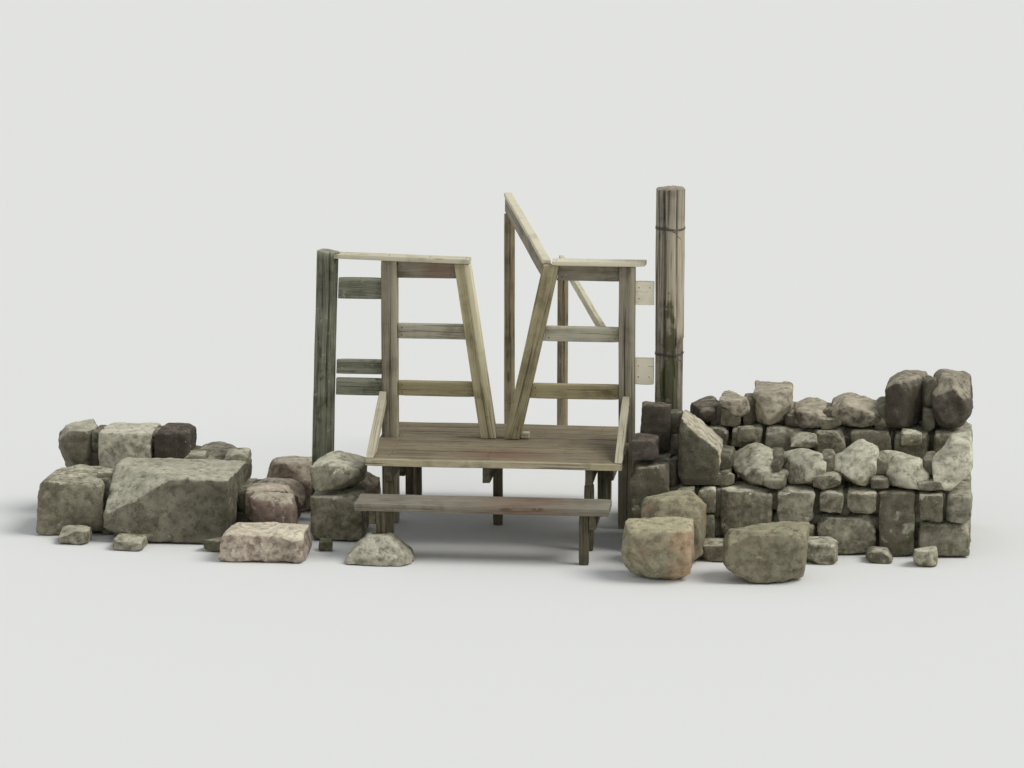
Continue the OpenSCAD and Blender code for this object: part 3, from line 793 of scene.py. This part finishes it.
def rightLogHollow(vert):
    # a dark damp hollow that widens downwards
    angle = turnOf(vert) + 0.15 * noise.noise(Vector((vert.co.z * 6, 3.0, 1.0)))
    wide = 0.28 + 0.75 * fadeOut(0.9, 1.5, vert.co.z)
    return fadeOut(wide * 0.6, wide, abs(angle + 1.45)) * fadeOut(1.36, 1.60, vert.co.z)


def rightLogMoss(vert):
    left = smoothStep(1.3, 2.3, abs(turnOf(vert) + 0.1))
    return max(left * 0.5 * fadeOut(1.25, 1.62, vert.co.z), 0.85 * rightLogHollow(vert)) + 0.25 * fadeOut(
        0.2, 0.9, vert.co.z)


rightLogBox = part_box("right_strainer_post")
logCentre = (rightLogBox[0] + rightLogBox[1]) / 2
logPart = wornLog((rightLogBox[1].x - rightLogBox[0].x) / 2, rightLogBox[1].z, rightLog, 301)
paintLayer(logPart, "bareAndHighlight", rightLogBare)
paintLayer(logPart, "moss", rightLogMoss)
liftTone(logPart, lambda v: -0.5 * max(rightLogHollow(v), fadeOut(1.05, 1.30, v.co.z)))
logSkin = [(turnOf(v), math.hypot(v.co.x, v.co.y), v.co.z) for v in logPart.verts]
moved(logPart, (logCentre.x, logCentre.y, 0))
finishPiece("split_right_strainer", [logPart], "strainer_timber", ("right_strainer_post",))

leftPost = {"radius": 0.075, "length": 1.74, "lean": math.radians(1.8), "footX": -1.190}
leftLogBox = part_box("left_strainer_post")
logPart = wornLog(leftPost["radius"], leftPost["length"], leftLog, 302)
paintLayer(logPart, "moss", lambda v: 0.12 + 0.3 * noise.noise(v.co * 3))
liftTone(logPart, lambda v: -0.45 * smoothStep(1.30, 1.55, v.co.z) * fadeOut(1.68, 1.72, v.co.z))
paintLayer(logPart, "bareAndHighlight", lambda v: 0.95 * smoothStep(1.70, 1.73, v.co.z))
turned(logPart, leftPost["lean"], "Y")
moved(logPart, (leftPost["footX"], (leftLogBox[0].y + leftLogBox[1].y) / 2, 0))
for vert in logPart.verts:
    vert.co.z = max(0.0, vert.co.z)
finishPiece("mossy_left_strainer", [logPart], "mossy_timber", ("left_strainer_post",))

for index, nodeName in enumerate(("far_handrail_post", "far_low_rail_post")):
    low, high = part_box(nodeName)
    stakePart = wornLog((high.x - low.x) / 2, high.z, stakeLook, 303 + index)
    paintLayer(stakePart, "moss", lambda v: 0.4 * fadeOut(0.1, 0.9, v.co.z))
    moved(stakePart, ((low.x + high.x) / 2, (low.y + high.y) / 2, 0))
    finishPiece("round_" + nodeName, [stakePart], "stake_timber", (nodeName,))
print("round posts made")


# Old fence wire left round the tall post

wire = {
    "thickness": 0.0042, "turns": 2.3, "steps": 60, "wave": 0.002,
    "tailSteps": 24, "tailDrop": 0.6, "tailCurl": 0.004,
    "loops": [
        {"z": 1.905, "climb": 0.007, "start": 2.6, "tail": 0.10},
        {"z": 1.115, "climb": 0.006, "start": 2.9, "tail": 0.07},
    ],
}


def tubeAlong(points, radius, sides=6):
    # a round face that is extruded from point to point and turned as the wire turns
    part = bmesh.new()
    last = len(points) - 1
    ways = [(points[min(i + 1, last)] - points[max(i - 1, 0)]).normalized() for i in range(last + 1)]
    turn = Vector((0, 0, 1)).rotation_difference(ways[0]).to_matrix().to_4x4()
    bmesh.ops.create_circle(part, cap_ends=True, segments=sides, radius=radius,
                            matrix=Matrix.Translation(points[0]) @ turn)
    rim = part.edges[:]
    for i in range(1, last + 1):
        swept = bmesh.ops.extrude_edge_only(part, edges=rim)["geom"]
        ring = [item for item in swept if isinstance(item, bmesh.types.BMVert)]
        rim = [item for item in swept if isinstance(item, bmesh.types.BMEdge) and item.is_boundary]
        bmesh.ops.translate(part, vec=points[i] - points[i - 1], verts=ring)
        bmesh.ops.rotate(part, cent=points[i], verts=ring,
                         matrix=ways[i - 1].rotation_difference(ways[i]).to_matrix())
    bmesh.ops.holes_fill(part, edges=rim, sides=0)
    bmesh.ops.recalc_face_normals(part, faces=part.faces)
    return part


def skinRadius(angle, z):
    # how far the post's skin reaches near that angle and height
    return max(r for a, r, high in logSkin if abs(high - z) < 0.02 and turnBetween(a, angle) < 0.12)


def windingPoints(loop):
    points = []
    for i in range(int(wire["turns"] * wire["steps"]) + 1):
        angle = loop["start"] + 2 * math.pi * i / wire["steps"]
        z = loop["z"] + loop["climb"] * i / wire["steps"] + wire["wave"] * math.sin(angle * 2)
        radius = skinRadius(angle, z) + wire["thickness"] * 0.35
        points.append(Vector((radius * math.cos(angle), radius * math.sin(angle), z)))
    last, way = points[-1], (points[-1] - points[-3]).normalized()
    for i in range(1, wire["tailSteps"] + 1):
        t, curl = i / wire["tailSteps"], i * 0.9
        drop = Vector((0, 0, -wire["tailDrop"] * loop["tail"] * t ** 2))
        aside = Vector((way.y * math.cos(curl), -way.x * math.cos(curl), math.sin(curl)))
        along = way * loop["tail"] * i / wire["tailSteps"]
        points.append(last + along + drop + wire["tailCurl"] * min(1, i / 6) * aside)
    return points


parts = []
for loop in wire["loops"]:
    part = tubeAlong(windingPoints(loop), wire["thickness"] / 2)
    moved(part, (logCentre.x, logCentre.y, 0))
    parts.append(part)
finishPiece("post_wires", parts, "wire")
print("wires made")


# Nails and coach bolts, placed from the middle of the frame

frameY = (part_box("left_post")[0].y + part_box("left_post")[1].y) / 2
nail = {"radius": 0.0045, "height": 0.0016, "sunk": 0.0016, "fromEnd": 0.028}
bolt = {"radius": 0.011, "height": 0.006, "sunk": 0.002}
headDepth = 0.005
forward, upward, leftward, rightward = (0, -1, 0), (0, 0, 1), (-1, 0, 0), (1, 0, 0)
deck = {
    "front": -0.70, "pitch": 0.142, "boards": 8,
    "nailLines": (-0.670, -0.065, 0.565), "nailsIn": (0.030, 0.106),
}
stepTop = 0.360
capTop = 1.700
leftCapEnd = -0.236
postInside = 0.695


def headPart(spot, way, radius, height):
    # low dome whose foot is sunk in the timber
    part = bmesh.new()
    bmesh.ops.create_cone(part, cap_ends=True, segments=12, radius1=radius, radius2=radius, depth=headDepth)
    top = [v for v in part.verts if v.co.z > 0]
    moved(part, (0, 0, -headDepth / 2))
    face = [f for f in part.faces if all(v in top for v in f.verts)]
    for inset, lift in ((0.25, 0.55), (0.6, 0.4)):
        bmesh.ops.inset_region(part, faces=face, thickness=radius * inset, depth=0.0, use_even_offset=True)
        bmesh.ops.translate(part, vec=(0, 0, height * lift), verts=list({v for f in face for v in f.verts}))
    turn = Vector(way).to_track_quat("Z", "Y").to_matrix()
    bmesh.ops.rotate(part, cent=(0, 0, 0), matrix=turn, verts=part.verts)
    moved(part, (spot[0], spot[1] + frameY, spot[2]))
    return part


def railEnds(z):
    # where the nails of a rail go: by both frame posts and by both leaning posts
    gap = 0.052 + nail["fromEnd"]
    return (-postInside + nail["fromEnd"], leanAt("left", z) - gap, leanAt("right", z) + gap,
            postInside - nail["fromEnd"])


chance = random.Random(55)
nailSpots, boltSpots = [], []
for x, i, across in itertools.product(deck["nailLines"], range(deck["boards"]), deck["nailsIn"]):
    y = deck["front"] + i * deck["pitch"] + across
    nailSpots.append((x + chance.uniform(-0.008, 0.008), y + chance.uniform(-0.006, 0.006), deckTop, upward))
for y, x in itertools.product((-0.99, -0.83, 0.56, 0.72), (-0.67, 0.565)):
    nailSpots.append((x, y, stepTop, upward))
for z in (1.620, 1.2325, 0.8675):
    for x, up in itertools.product(railEnds(z), (-0.024, 0.022)):
        nailSpots.append((x + chance.uniform(-0.004, 0.004), -0.0225, z + up, forward))
for z, up in itertools.product((1.4975, 0.9975, 0.870), (-0.022, 0.024)):
    nailSpots.append((-0.822, -0.0175, z + up, forward))
for z, x, up in itertools.product((1.500, 1.005), (0.818, 0.885), (-0.035, 0.035)):
    nailSpots.append((x, -0.0175, z + up, forward))
for x, y in itertools.product((0.305, 0.500, 0.745), (-0.022, 0.024)):
    nailSpots.append((x, y, capTop, upward))
for x, y in itertools.product((-0.262, -0.490, -0.745, -1.02), (-0.024, 0.022)):
    nailSpots.append((x, y, capTop + (leftCapEnd - x) * math.tan(capFall), upward))
for side, x in ((leftward, -0.81), (rightward, 0.77)):
    boltSpots.append((x, -0.10, 0.794, side))
for side, x in ((leftward, -0.745), (rightward, 0.64)):
    for y in (-0.99, -0.63, 0.36, 0.72):
        boltSpots.append((x, y, 0.265, side))
for spots, sizes, name in ((nailSpots, nail, "nail_heads"), (boltSpots, bolt, "coach_bolts")):
    parts = []
    for x, y, z, way in spots:
        sunk = Vector(way) * sizes["sunk"]
        parts.append(headPart((x - sunk.x, y - sunk.y, z - sunk.z), way, sizes["radius"], sizes["height"]))
    finishPiece(name, parts, "iron")
print("fasteners made,", len(nailSpots) + len(boltSpots))


# Stones

def remeshed(part, voxel):
    mesh = bpy.data.meshes.new("step")
    part.to_mesh(mesh)
    part.free()
    holder = bpy.data.objects.new("step", mesh)
    scene.collection.objects.link(holder)
    remesh = holder.modifiers.new("remesh", "REMESH")
    remesh.mode = "VOXEL"
    remesh.voxel_size = voxel
    shown = holder.evaluated_get(bpy.context.evaluated_depsgraph_get())
    made = bmesh.new()
    made.from_mesh(shown.to_mesh())
    shown.to_mesh_clear()
    bpy.data.objects.remove(holder)
    bpy.data.meshes.remove(mesh)
    return made


def chipPart(part, way, depth):
    # break a corner off with a flat cut and close it
    reach = max(v.co.dot(way) for v in part.verts)
    cut = bmesh.ops.bisect_plane(part, geom=part.verts[:] + part.edges[:] + part.faces[:], dist=0.00001,
                                 plane_co=way * (reach - depth), plane_no=way, clear_outer=True)
    rim = [item for item in cut["geom_cut"] if isinstance(item, bmesh.types.BMEdge)]
    bmesh.ops.holes_fill(part, edges=rim, sides=0)


def fitPart(part, low, high):
    nowLow, nowHigh = partBox(part)
    scale = Vector([(high[i] - low[i]) / (nowHigh[i] - nowLow[i]) for i in range(3)])
    for vert in part.verts:
        vert.co = Vector([low[i] + (vert.co[i] - nowLow[i]) * scale[i] for i in range(3)])


def hullOf(points):
    part = bmesh.new()
    for point in points:
        part.verts.new(point)
    bmesh.ops.convex_hull(part, input=part.verts)
    bmesh.ops.delete(part, geom=[v for v in part.verts if not v.link_faces], context="VERTS")
    return part


def brokenFlat(spot, scale):
    # offset of a broken face: tilted flats with low steps between them
    heart = noise.voronoi(spot * scale)[1][0]
    return 0.4 * noise.noise(heart * 5.3) + 0.7 * noise.noise_vector(heart * 3.7).dot(spot * scale - heart)


def wornStone(part, look, seed, tint):
    # a few broken corners, then small faces pushed in and out by seeded noise
    chance = random.Random(seed)
    look = dict(look, **tint.get("look", {}))
    low, high = partBox(part)
    size = high - low
    if look["jitter"]:
        part.free()
        part = hullOf([[
            (low[k] if side[k] < 0 else high[k]) - side[k] * size[k] * chance.uniform(0, look["jitter"])
            for k in range(3)] for side in itertools.product((-1, 1), repeat=3)])
    for i in range(look["chips"]):
        corner = [chance.choice((-1, 0, 1)) for k in range(3)]
        corner[chance.randrange(3)] = chance.choice((-1, 1))
        way = Vector([(corner[k] + chance.uniform(-0.3, 0.3)) / size[k] for k in range(3)]).normalized()
        reach = sum(abs(way[k]) * size[k] for k in range(3))
        chipPart(part, way, reach * chance.uniform(*look["chipDepth"]))
    part = remeshed(part, look["voxel"])
    bmesh.ops.smooth_vert(part, verts=part.verts, factor=look["softness"], use_axis_x=True, use_axis_y=True,
                          use_axis_z=True)
    part.normal_update()
    shift = Vector([chance.uniform(-9, 9) for i in range(3)])
    bed = Matrix.Rotation(chance.uniform(-0.2, 0.2), 3, "Y")
    bed = bed @ Matrix.Rotation(chance.uniform(-0.15, 0.15), 3, "X")
    floats = {name: part.verts.layers.float.new(name) for name in ("pit", "tone", "pale", "hue")}
    shiftLayer = part.verts.layers.float_vector.new("shift")
    drawn = {
        "tone": chance.uniform(*look["tones"]), "pale": chance.uniform(0.0, 0.35), "paintedTopLight": 0.30,
        "hue": chance.uniform(0, 1), "slope": Vector(alongZ), "darkEnd": 0, "blush": 0}
    tint = dict(drawn, **tint)
    moves = []
    for vert in part.verts:
        spot = vert.co + shift
        layered = bed @ vert.co
        big = noise.fractal(spot * 4.5, 0.9, 2.0, 2)
        rough = noise.fractal(spot * 15, 0.7, 2.1, 3)
        strata = noise.noise(Vector((layered.x * 3, layered.y * 3, layered.z * 34)) + shift)
        pock = noise.noise(spot * 40)
        flat = brokenFlat(spot, 6.0) + 0.45 * brokenFlat(spot, 14.0)
        depth = look["big"] * big + look["rough"] * rough + look["strata"] * strata + look["pock"] * pock
        moves.append(vert.normal * (depth + look["flats"] * flat))
        rightEnd = smoothStep(0.45, 0.85, (vert.co.x - low.x) / size.x)
        onTop = smoothStep(0.35, 0.8, vert.normal.dot(tint["slope"]))
        # the pit layer marks hollows: painted shade darkens them and moss grows there
        vert[floats["pit"]] = clamped(0.30 - 0.7 * rough - 0.3 * strata - 0.25 * flat)
        # painted shade: towards the right end, faces that don't look up are darker
        vert[floats["tone"]] = max(0.0, tint["tone"] - tint["darkEnd"] * rightEnd * (1 - onTop))
        vert[floats["hue"]] = min(1.0, tint["hue"] + tint["blush"] * rightEnd)
        # painted top light: faces that look up are made paler
        vert[floats["pale"]] = clamped(tint["pale"] + tint["paintedTopLight"] * onTop)
        vert[shiftLayer] = shift
    for vert, move in zip(part.verts, moves):
        vert.co += move
    fitPart(part, low, high)
    return part


boulderLook = {
    "jitter": 0.13, "chips": 15, "chipDepth": (0.04, 0.13), "voxel": 0.014, "softness": 0.25, "big": 0.004,
    "rough": 0.004, "strata": 0.0015, "pock": 0.0012, "flats": 0.014, "tones": (0.35, 0.9),
}
blockLook = dict(boulderLook, jitter=0.09, chips=9, chipDepth=(0.02, 0.07), strata=0.003, flats=0.011)
slabLook = dict(boulderLook, jitter=0.08, chips=10, chipDepth=(0.02, 0.07), strata=0.004, flats=0.010)
calmLook = dict(boulderLook, big=0.002, rough=0.002)
heartLook = dict(calmLook, chips=6, voxel=0.02, flats=0.006, tones=(0.1, 0.4))
smallLook = dict(calmLook, chips=8, chipDepth=(0.04, 0.14), voxel=0.008, flats=0.004)
roundLook = {"jitter": 0.15, "chips": 20, "chipDepth": (0.05, 0.14), "softness": 0.4}

# node: look, finish
stones = {
    "foot_stone": (dict(slabLook, voxel=0.010, chips=6, jitter=0, chipDepth=(0.01, 0.05)), "pale_stone"),
    "left_flat_slab": (dict(slabLook, chips=12, chipDepth=(0.03, 0.10)), "grey_stone"),
    "left_squared_block": (dict(
        blockLook, jitter=0.05, chips=4, voxel=0.011, chipDepth=(0.01, 0.04), flats=0.007), "pale_stone"),
    "left_dark_block": (dict(blockLook, voxel=0.012, chipDepth=(0.01, 0.05)), "dark_stone"),
    "left_loose_slab": (dict(slabLook, voxel=0.011), "pink_stone"),
    "left_fallen_stones": (boulderLook, "pink_stone"),
    "left_wall_base_course": (blockLook, "grey_stone"),
    "left_wall_top_course": (boulderLook, "grey_stone"),
    "right_wall_base_course": (blockLook, "grey_stone"),
    "right_wall_middle_course": (blockLook, "grey_stone"),
    "right_wall_cope_stones": (boulderLook, "dark_stone"),
    "right_leaning_stone": (dict(
        blockLook, jitter=0, voxel=0.011, chips=4, chipDepth=(0.01, 0.04)), "leaning_stone"),
    "right_corner_stones": (blockLook, "dark_stone"),
    "right_fallen_stones": (dict(boulderLook, voxel=0.013), "tan_stone"),
}

# Stones that rest on one another in one course: left end, right end, underside, top
frontBase = (
    (1.09, 1.345, 0, 0.235), (1.09, 1.212, 0.235, 0.4), (1.22, 1.345, 0.235, 0.4), (1.353, 1.69, 0, 0.4),
    (1.698, 1.95, 0, 0.185), (1.698, 1.95, 0.185, 0.4), (1.958, 2.32, 0, 0.255), (1.958, 2.125, 0.255, 0.4),
    (2.133, 2.32, 0.255, 0.4), (2.328, 2.56, 0, 0.4), (2.568, 2.9, 0, 0.22), (2.568, 2.725, 0.22, 0.4),
    (2.733, 2.9, 0.22, 0.4))
middleBase = (
    (1.13, 1.42, 0, 0.4), (1.428, 1.7, 0, 0.19), (1.428, 1.7, 0.19, 0.4), (1.708, 2.06, 0, 0.4),
    (2.068, 2.33, 0, 0.21), (2.068, 2.33, 0.21, 0.4), (2.338, 2.9, 0, 0.18), (2.338, 2.6, 0.18, 0.4),
    (2.608, 2.9, 0.18, 0.4))
middleStones = (
    (1.13, 1.39, 0.4, 0.68), (1.398, 1.6, 0.4, 0.54), (1.398, 1.6, 0.54, 0.68), (1.608, 1.9, 0.4, 0.68),
    (1.908, 2.13, 0.4, 0.68), (2.138, 2.4, 0.4, 0.53), (2.138, 2.4, 0.53, 0.68), (2.408, 2.64, 0.4, 0.68),
    (2.648, 2.9, 0.4, 0.68))
stacked = {
    "right_wall_base_course": ((frontBase, -0.620, -0.160), (middleBase, -0.150, 0.380)),
    "right_wall_middle_course": ((middleStones, -0.130, 0.350),),
}
boxEdge = 0.0012


def stonesOf(nodeName):
    # the hull of each CAD stone's own points
    def rounded(point):
        return tuple(round(c, 4) for c in point)

    solids = solidsOf(nodeName)
    found = []
    for group, near, far in stacked.get(nodeName, ()):
        for left, right, under, top in group:
            found.append([
                v.co.copy() for solid in solids for v in solid.verts
                if left - boxEdge < v.co.x < right + boxEdge and under - boxEdge < v.co.z < top + boxEdge
                and near - boxEdge < v.co.y - frameY < far + boxEdge])
    taken = {rounded(point) for points in found for point in points}
    for solid in solids:
        points = [v.co.copy() for v in solid.verts]
        if not all(rounded(point) in taken for point in points):
            found.append(points)
        solid.free()
    return [hullOf(points) for points in found]


def tinted(x, y, z, tone, pale, paintedTopLight, **more):
    # a point inside the stone, from the middle of the frame, and how that stone differs
    return Vector((x, y + frameY, z)), dict(more, tone=tone, pale=pale, paintedTopLight=paintedTopLight)


stoneTints = (
    tinted(-2.05, -0.40, 0.2, 0.48, 0.0, 0.9, hue=0.3, darkEnd=0.45),
    tinted(-2.43, 0.05, 0.4, 0.66, 0.48, 0.2, hue=0.2),
    tinted(-2.13, 0.05, 0.4, 0.40, 0.0, 0.2),
    tinted(-1.38, -1.00, 0.1, 0.90, 0.42, 0.6, hue=0.6, darkEnd=0.5),
    tinted(-1.39, -0.63, 0.1, 0.45, 0.1, 0.6, hue=0.9),
    tinted(-2.75, 0.10, 0.4, 0.45, 0.0, 0.8, hue=0.2),
    tinted(-0.67, -1.00, 0.05, 0.58, 0.22, 0.3, hue=0.3),
    tinted(-1.00, -0.35, 0.4, 0.75, 0.20, 0.6),
    tinted(1.20, -0.35, 0.6, 0.42, 0.0, 1.0, hue=0.5, slope=Vector((0.64, 0, 0.77))),
    tinted(0.90, -0.50, 0.65, 0.35, 0.0, 0.25),
    tinted(0.95, -0.25, 0.7, 0.50, 0.0, 0.35),
    tinted(0.93, -0.40, 0.3, 0.42, 0.0, 0.3),
    tinted(1.22, 0.10, 0.72, 0.60, 0.05, 0.3),
    tinted(1.42, 0.10, 0.75, 0.95, 0.55, 0.35, hue=0.1),
    tinted(1.65, 0.10, 0.75, 0.95, 0.75, 0.3, hue=0.9),
    tinted(1.90, 0.10, 0.75, 0.70, 0.30, 0.5),
    tinted(2.17, 0.10, 0.75, 0.90, 0.50, 0.7),
    tinted(2.48, 0.10, 0.8, 0.55, 0.08, 0.65, hue=0.9),
    tinted(2.76, 0.10, 0.8, 0.50, 0.15, 0.85, hue=0.8),
    tinted(1.54, -0.35, 0.5, 0.55, 0.35, 0.3, look=roundLook),
    tinted(1.85, -0.35, 0.5, 0.65, 0.55, 0.3, hue=0.9, look=roundLook),
    tinted(2.17, -0.35, 0.5, 0.95, 0.85, 0.2, look=roundLook),
    tinted(2.49, -0.35, 0.5, 0.95, 0.80, 0.2, hue=0.3, look=roundLook),
    tinted(2.77, -0.35, 0.5, 1.0, 0.90, 0.2, hue=0.7, look=roundLook),
    tinted(1.10, -0.87, 0.2, 0.50, 0.10, 0.5, hue=0.2),
    tinted(1.03, -1.27, 0.2, 0.70, 0.20, 0.5, hue=0.1, blush=0.9),
    tinted(1.67, -1.22, 0.2, 0.40, 0.15, 0.35, hue=0.0),
)


def tintOf(part):
    low, high = partBox(part)
    for point, tint in stoneTints:
        if all(low[k] < point[k] < high[k] for k in range(3)):
            return tint
    return {}


seed = 500
laidBoxes = []
for nodeName, (look, finish) in stones.items():
    parts = []
    for part in stonesOf(nodeName):
        seed += 1
        laidBoxes.append(partBox(part))
        parts.append(wornStone(part, look, seed, tintOf(part)))
    finishPiece("rough_" + nodeName, parts, finish, (nodeName,))
print("stones made,", len(laidBoxes))

# Hearting that fills the upright joints between neighbours
chance = random.Random(77)
parts = []
for first, second in itertools.permutations(laidBoxes, 2):
    gap = second[0].x - first[1].x
    near, far = max(first[0].y, second[0].y), min(first[1].y, second[1].y)
    under, top = max(first[0].z, second[0].z), min(first[1].z, second[1].z)
    if not -0.01 < gap < 0.05 or far - near < 0.15 or top - under < 0.06:
        continue
    joint = (second[0].x + first[1].x) / 2
    count = max(1, round((top - under) / 0.13))
    rise = (top - under) / count
    for i in range(count):
        seed += 1
        half = chance.uniform(0.045, 0.06)
        base = under + (top - under) * i / count
        front = near + (far - near) * chance.uniform(0.10, 0.2)
        back = far - (far - near) * chance.uniform(0.10, 0.2)
        part = boxPart((joint - half, front, max(0.0, base - 0.03)), (joint + half, back, base + rise - 0.01))
        parts.append(wornStone(part, heartLook, seed, {"pale": 0.0}))
heartCount = len(parts)
finishPiece("hearting_stones", parts, "grey_stone")
print("hearting made,", heartCount)

# Small stones wedged in the joints: x, y, size, underside; and a few that have rolled off: x, y, size
packingStones = (
    (1.695, -0.52, 0.12, 0.4), (1.7, -0.36, 0.13, 0.42), (2.015, -0.5, 0.13, 0.4), (2.01, -0.3, 0.12, 0.43),
    (2.335, -0.51, 0.12, 0.4), (2.34, -0.33, 0.12, 0.44), (2.64, -0.5, 0.12, 0.41), (1.37, -0.47, 0.13, 0.4),
    (1.5, -0.14, 0.13, 0.6), (1.86, -0.14, 0.14, 0.58), (2.52, -0.14, 0.14, 0.6), (-2.255, 0.02, 0.1, 0.44),
    (-2.0, -0.02, 0.12, 0.36), (-1.72, 0, 0.11, 0.36), (-2.46, -0.36, 0.14, 0.28), (1.08, -0.3, 0.13, 0.44),
    (1.08, 0.2, 0.14, 0.4), (1.316, 0.24, 0.12, 0.7), (2.004, 0.24, 0.12, 0.7), (1.4, -0.02, 0.15, 0.675),
    (1.47, 0.1, 0.13, 0.68), (2.02, -0.02, 0.12, 0.675), (1.3, 0.05, 0.12, 0.68), (2.34, 0.05, 0.14, 0.68))
rolledStones = (
    (1.36, -0.76, 0.15), (1.62, -0.72, 0.12), (1.98, -0.75, 0.17), (2.34, -0.71, 0.13), (2.62, -0.78, 0.16),
    (-1.72, -0.86, 0.12), (-2.25, -0.86, 0.14), (-1.22, -0.74, 0.13), (-1.04, -0.8, 0.1),
    (-2.62, -0.74, 0.16), (1.5, 0.5, 0.16), (2.1, 0.48, 0.13), (2.66, 0.5, 0.17), (-2.3, 0.5, 0.15),
    (-2.72, 0.47, 0.13), (-1.75, 0.49, 0.16))
for name, spots in (("packing_stones", packingStones), ("rolled_stones", rolledStones)):
    chance = random.Random(900)
    parts = []
    for x, y, size, *under in spots:
        seed += 1
        half = [size / 2 * chance.uniform(0.75, 1.15) for k in range(2)]
        part = boxPart((-half[0], -half[1], 0), (half[0], half[1], size * chance.uniform(0.5, 0.8)))
        turned(part, chance.uniform(0, 3), "Z")
        moved(part, (x, y + frameY, sum(under)))
        parts.append(wornStone(part, smallLook, seed, {}))
    finishPiece(name, parts, "grey_stone")
print("small stones made")


# Floor, light and camera

def makeFloor():
    mesh = bpy.data.meshes.new("studioFloor")
    flat = bmesh.new()
    bmesh.ops.create_grid(flat, x_segments=1, y_segments=1, size=light["floorSize"])
    flat.to_mesh(mesh)
    flat.free()
    material, tree, shader = newMaterial("paleFloor")
    tree.fill(shader, {"Base Color": (*light["floor"], 1), "Roughness": 0.95, "Specular IOR Level": 0.1})
    mesh.materials.append(material)
    floor = bpy.data.objects.new("studioFloor", mesh)
    scene.collection.objects.link(floor)


def makeSky():
    world = bpy.data.worlds.new("softSky")
    world.use_nodes = True
    scene.world = world
    tree = NodeTree(world.node_tree)
    rays = tree.node("ShaderNodeLightPath", {}).outputs
    seen = tree.math("MAXIMUM", rays["Is Camera Ray"], tree.math(
        "MAXIMUM", rays["Is Glossy Ray"], rays["Is Transmission Ray"]))
    sky = tree.node("ShaderNodeBackground", {0: (*light["skyColour"], 1), 1: light["skyLevel"]})
    back = tree.node("ShaderNodeBackground", {0: (*light["backdrop"], 1), 1: 1.0})
    both = tree.node("ShaderNodeMixShader", {0: seen, 1: sky.outputs[0], 2: back.outputs[0]})
    tree.node("ShaderNodeOutputWorld", {0: both.outputs[0]})


def makeSun():
    lamp = bpy.data.lights.new("softSun", "SUN")
    lamp.energy = light["sunStrength"]
    lamp.angle = math.radians(light["sunSpread"])
    lamp.color = light["sunColour"]
    sun = bpy.data.objects.new("softSun", lamp)
    sun.rotation_euler = Vector(light["sunFrom"]).to_track_quat("Z", "Y").to_euler()
    scene.collection.objects.link(sun)


def makeCamera():
    lens = bpy.data.cameras.new("camera")
    lens.lens = view["lens"]
    lens.clip_end = 500
    camera = bpy.data.objects.new("camera", lens)
    azimuth, elevation = math.radians(view["azimuth"]), math.radians(view["elevation"])
    away = Vector((math.sin(azimuth) * math.cos(elevation), -math.cos(azimuth) * math.cos(elevation),
                   math.sin(elevation)))
    camera.location = Vector(view["target"]) + away * view["distance"]
    camera.rotation_euler = away.to_track_quat("Z", "Y").to_euler()
    scene.collection.objects.link(camera)
    scene.camera = camera


makeFloor()
makeSky()
makeSun()
makeCamera()
scene.view_settings.view_transform = "Standard"
print("stage set")
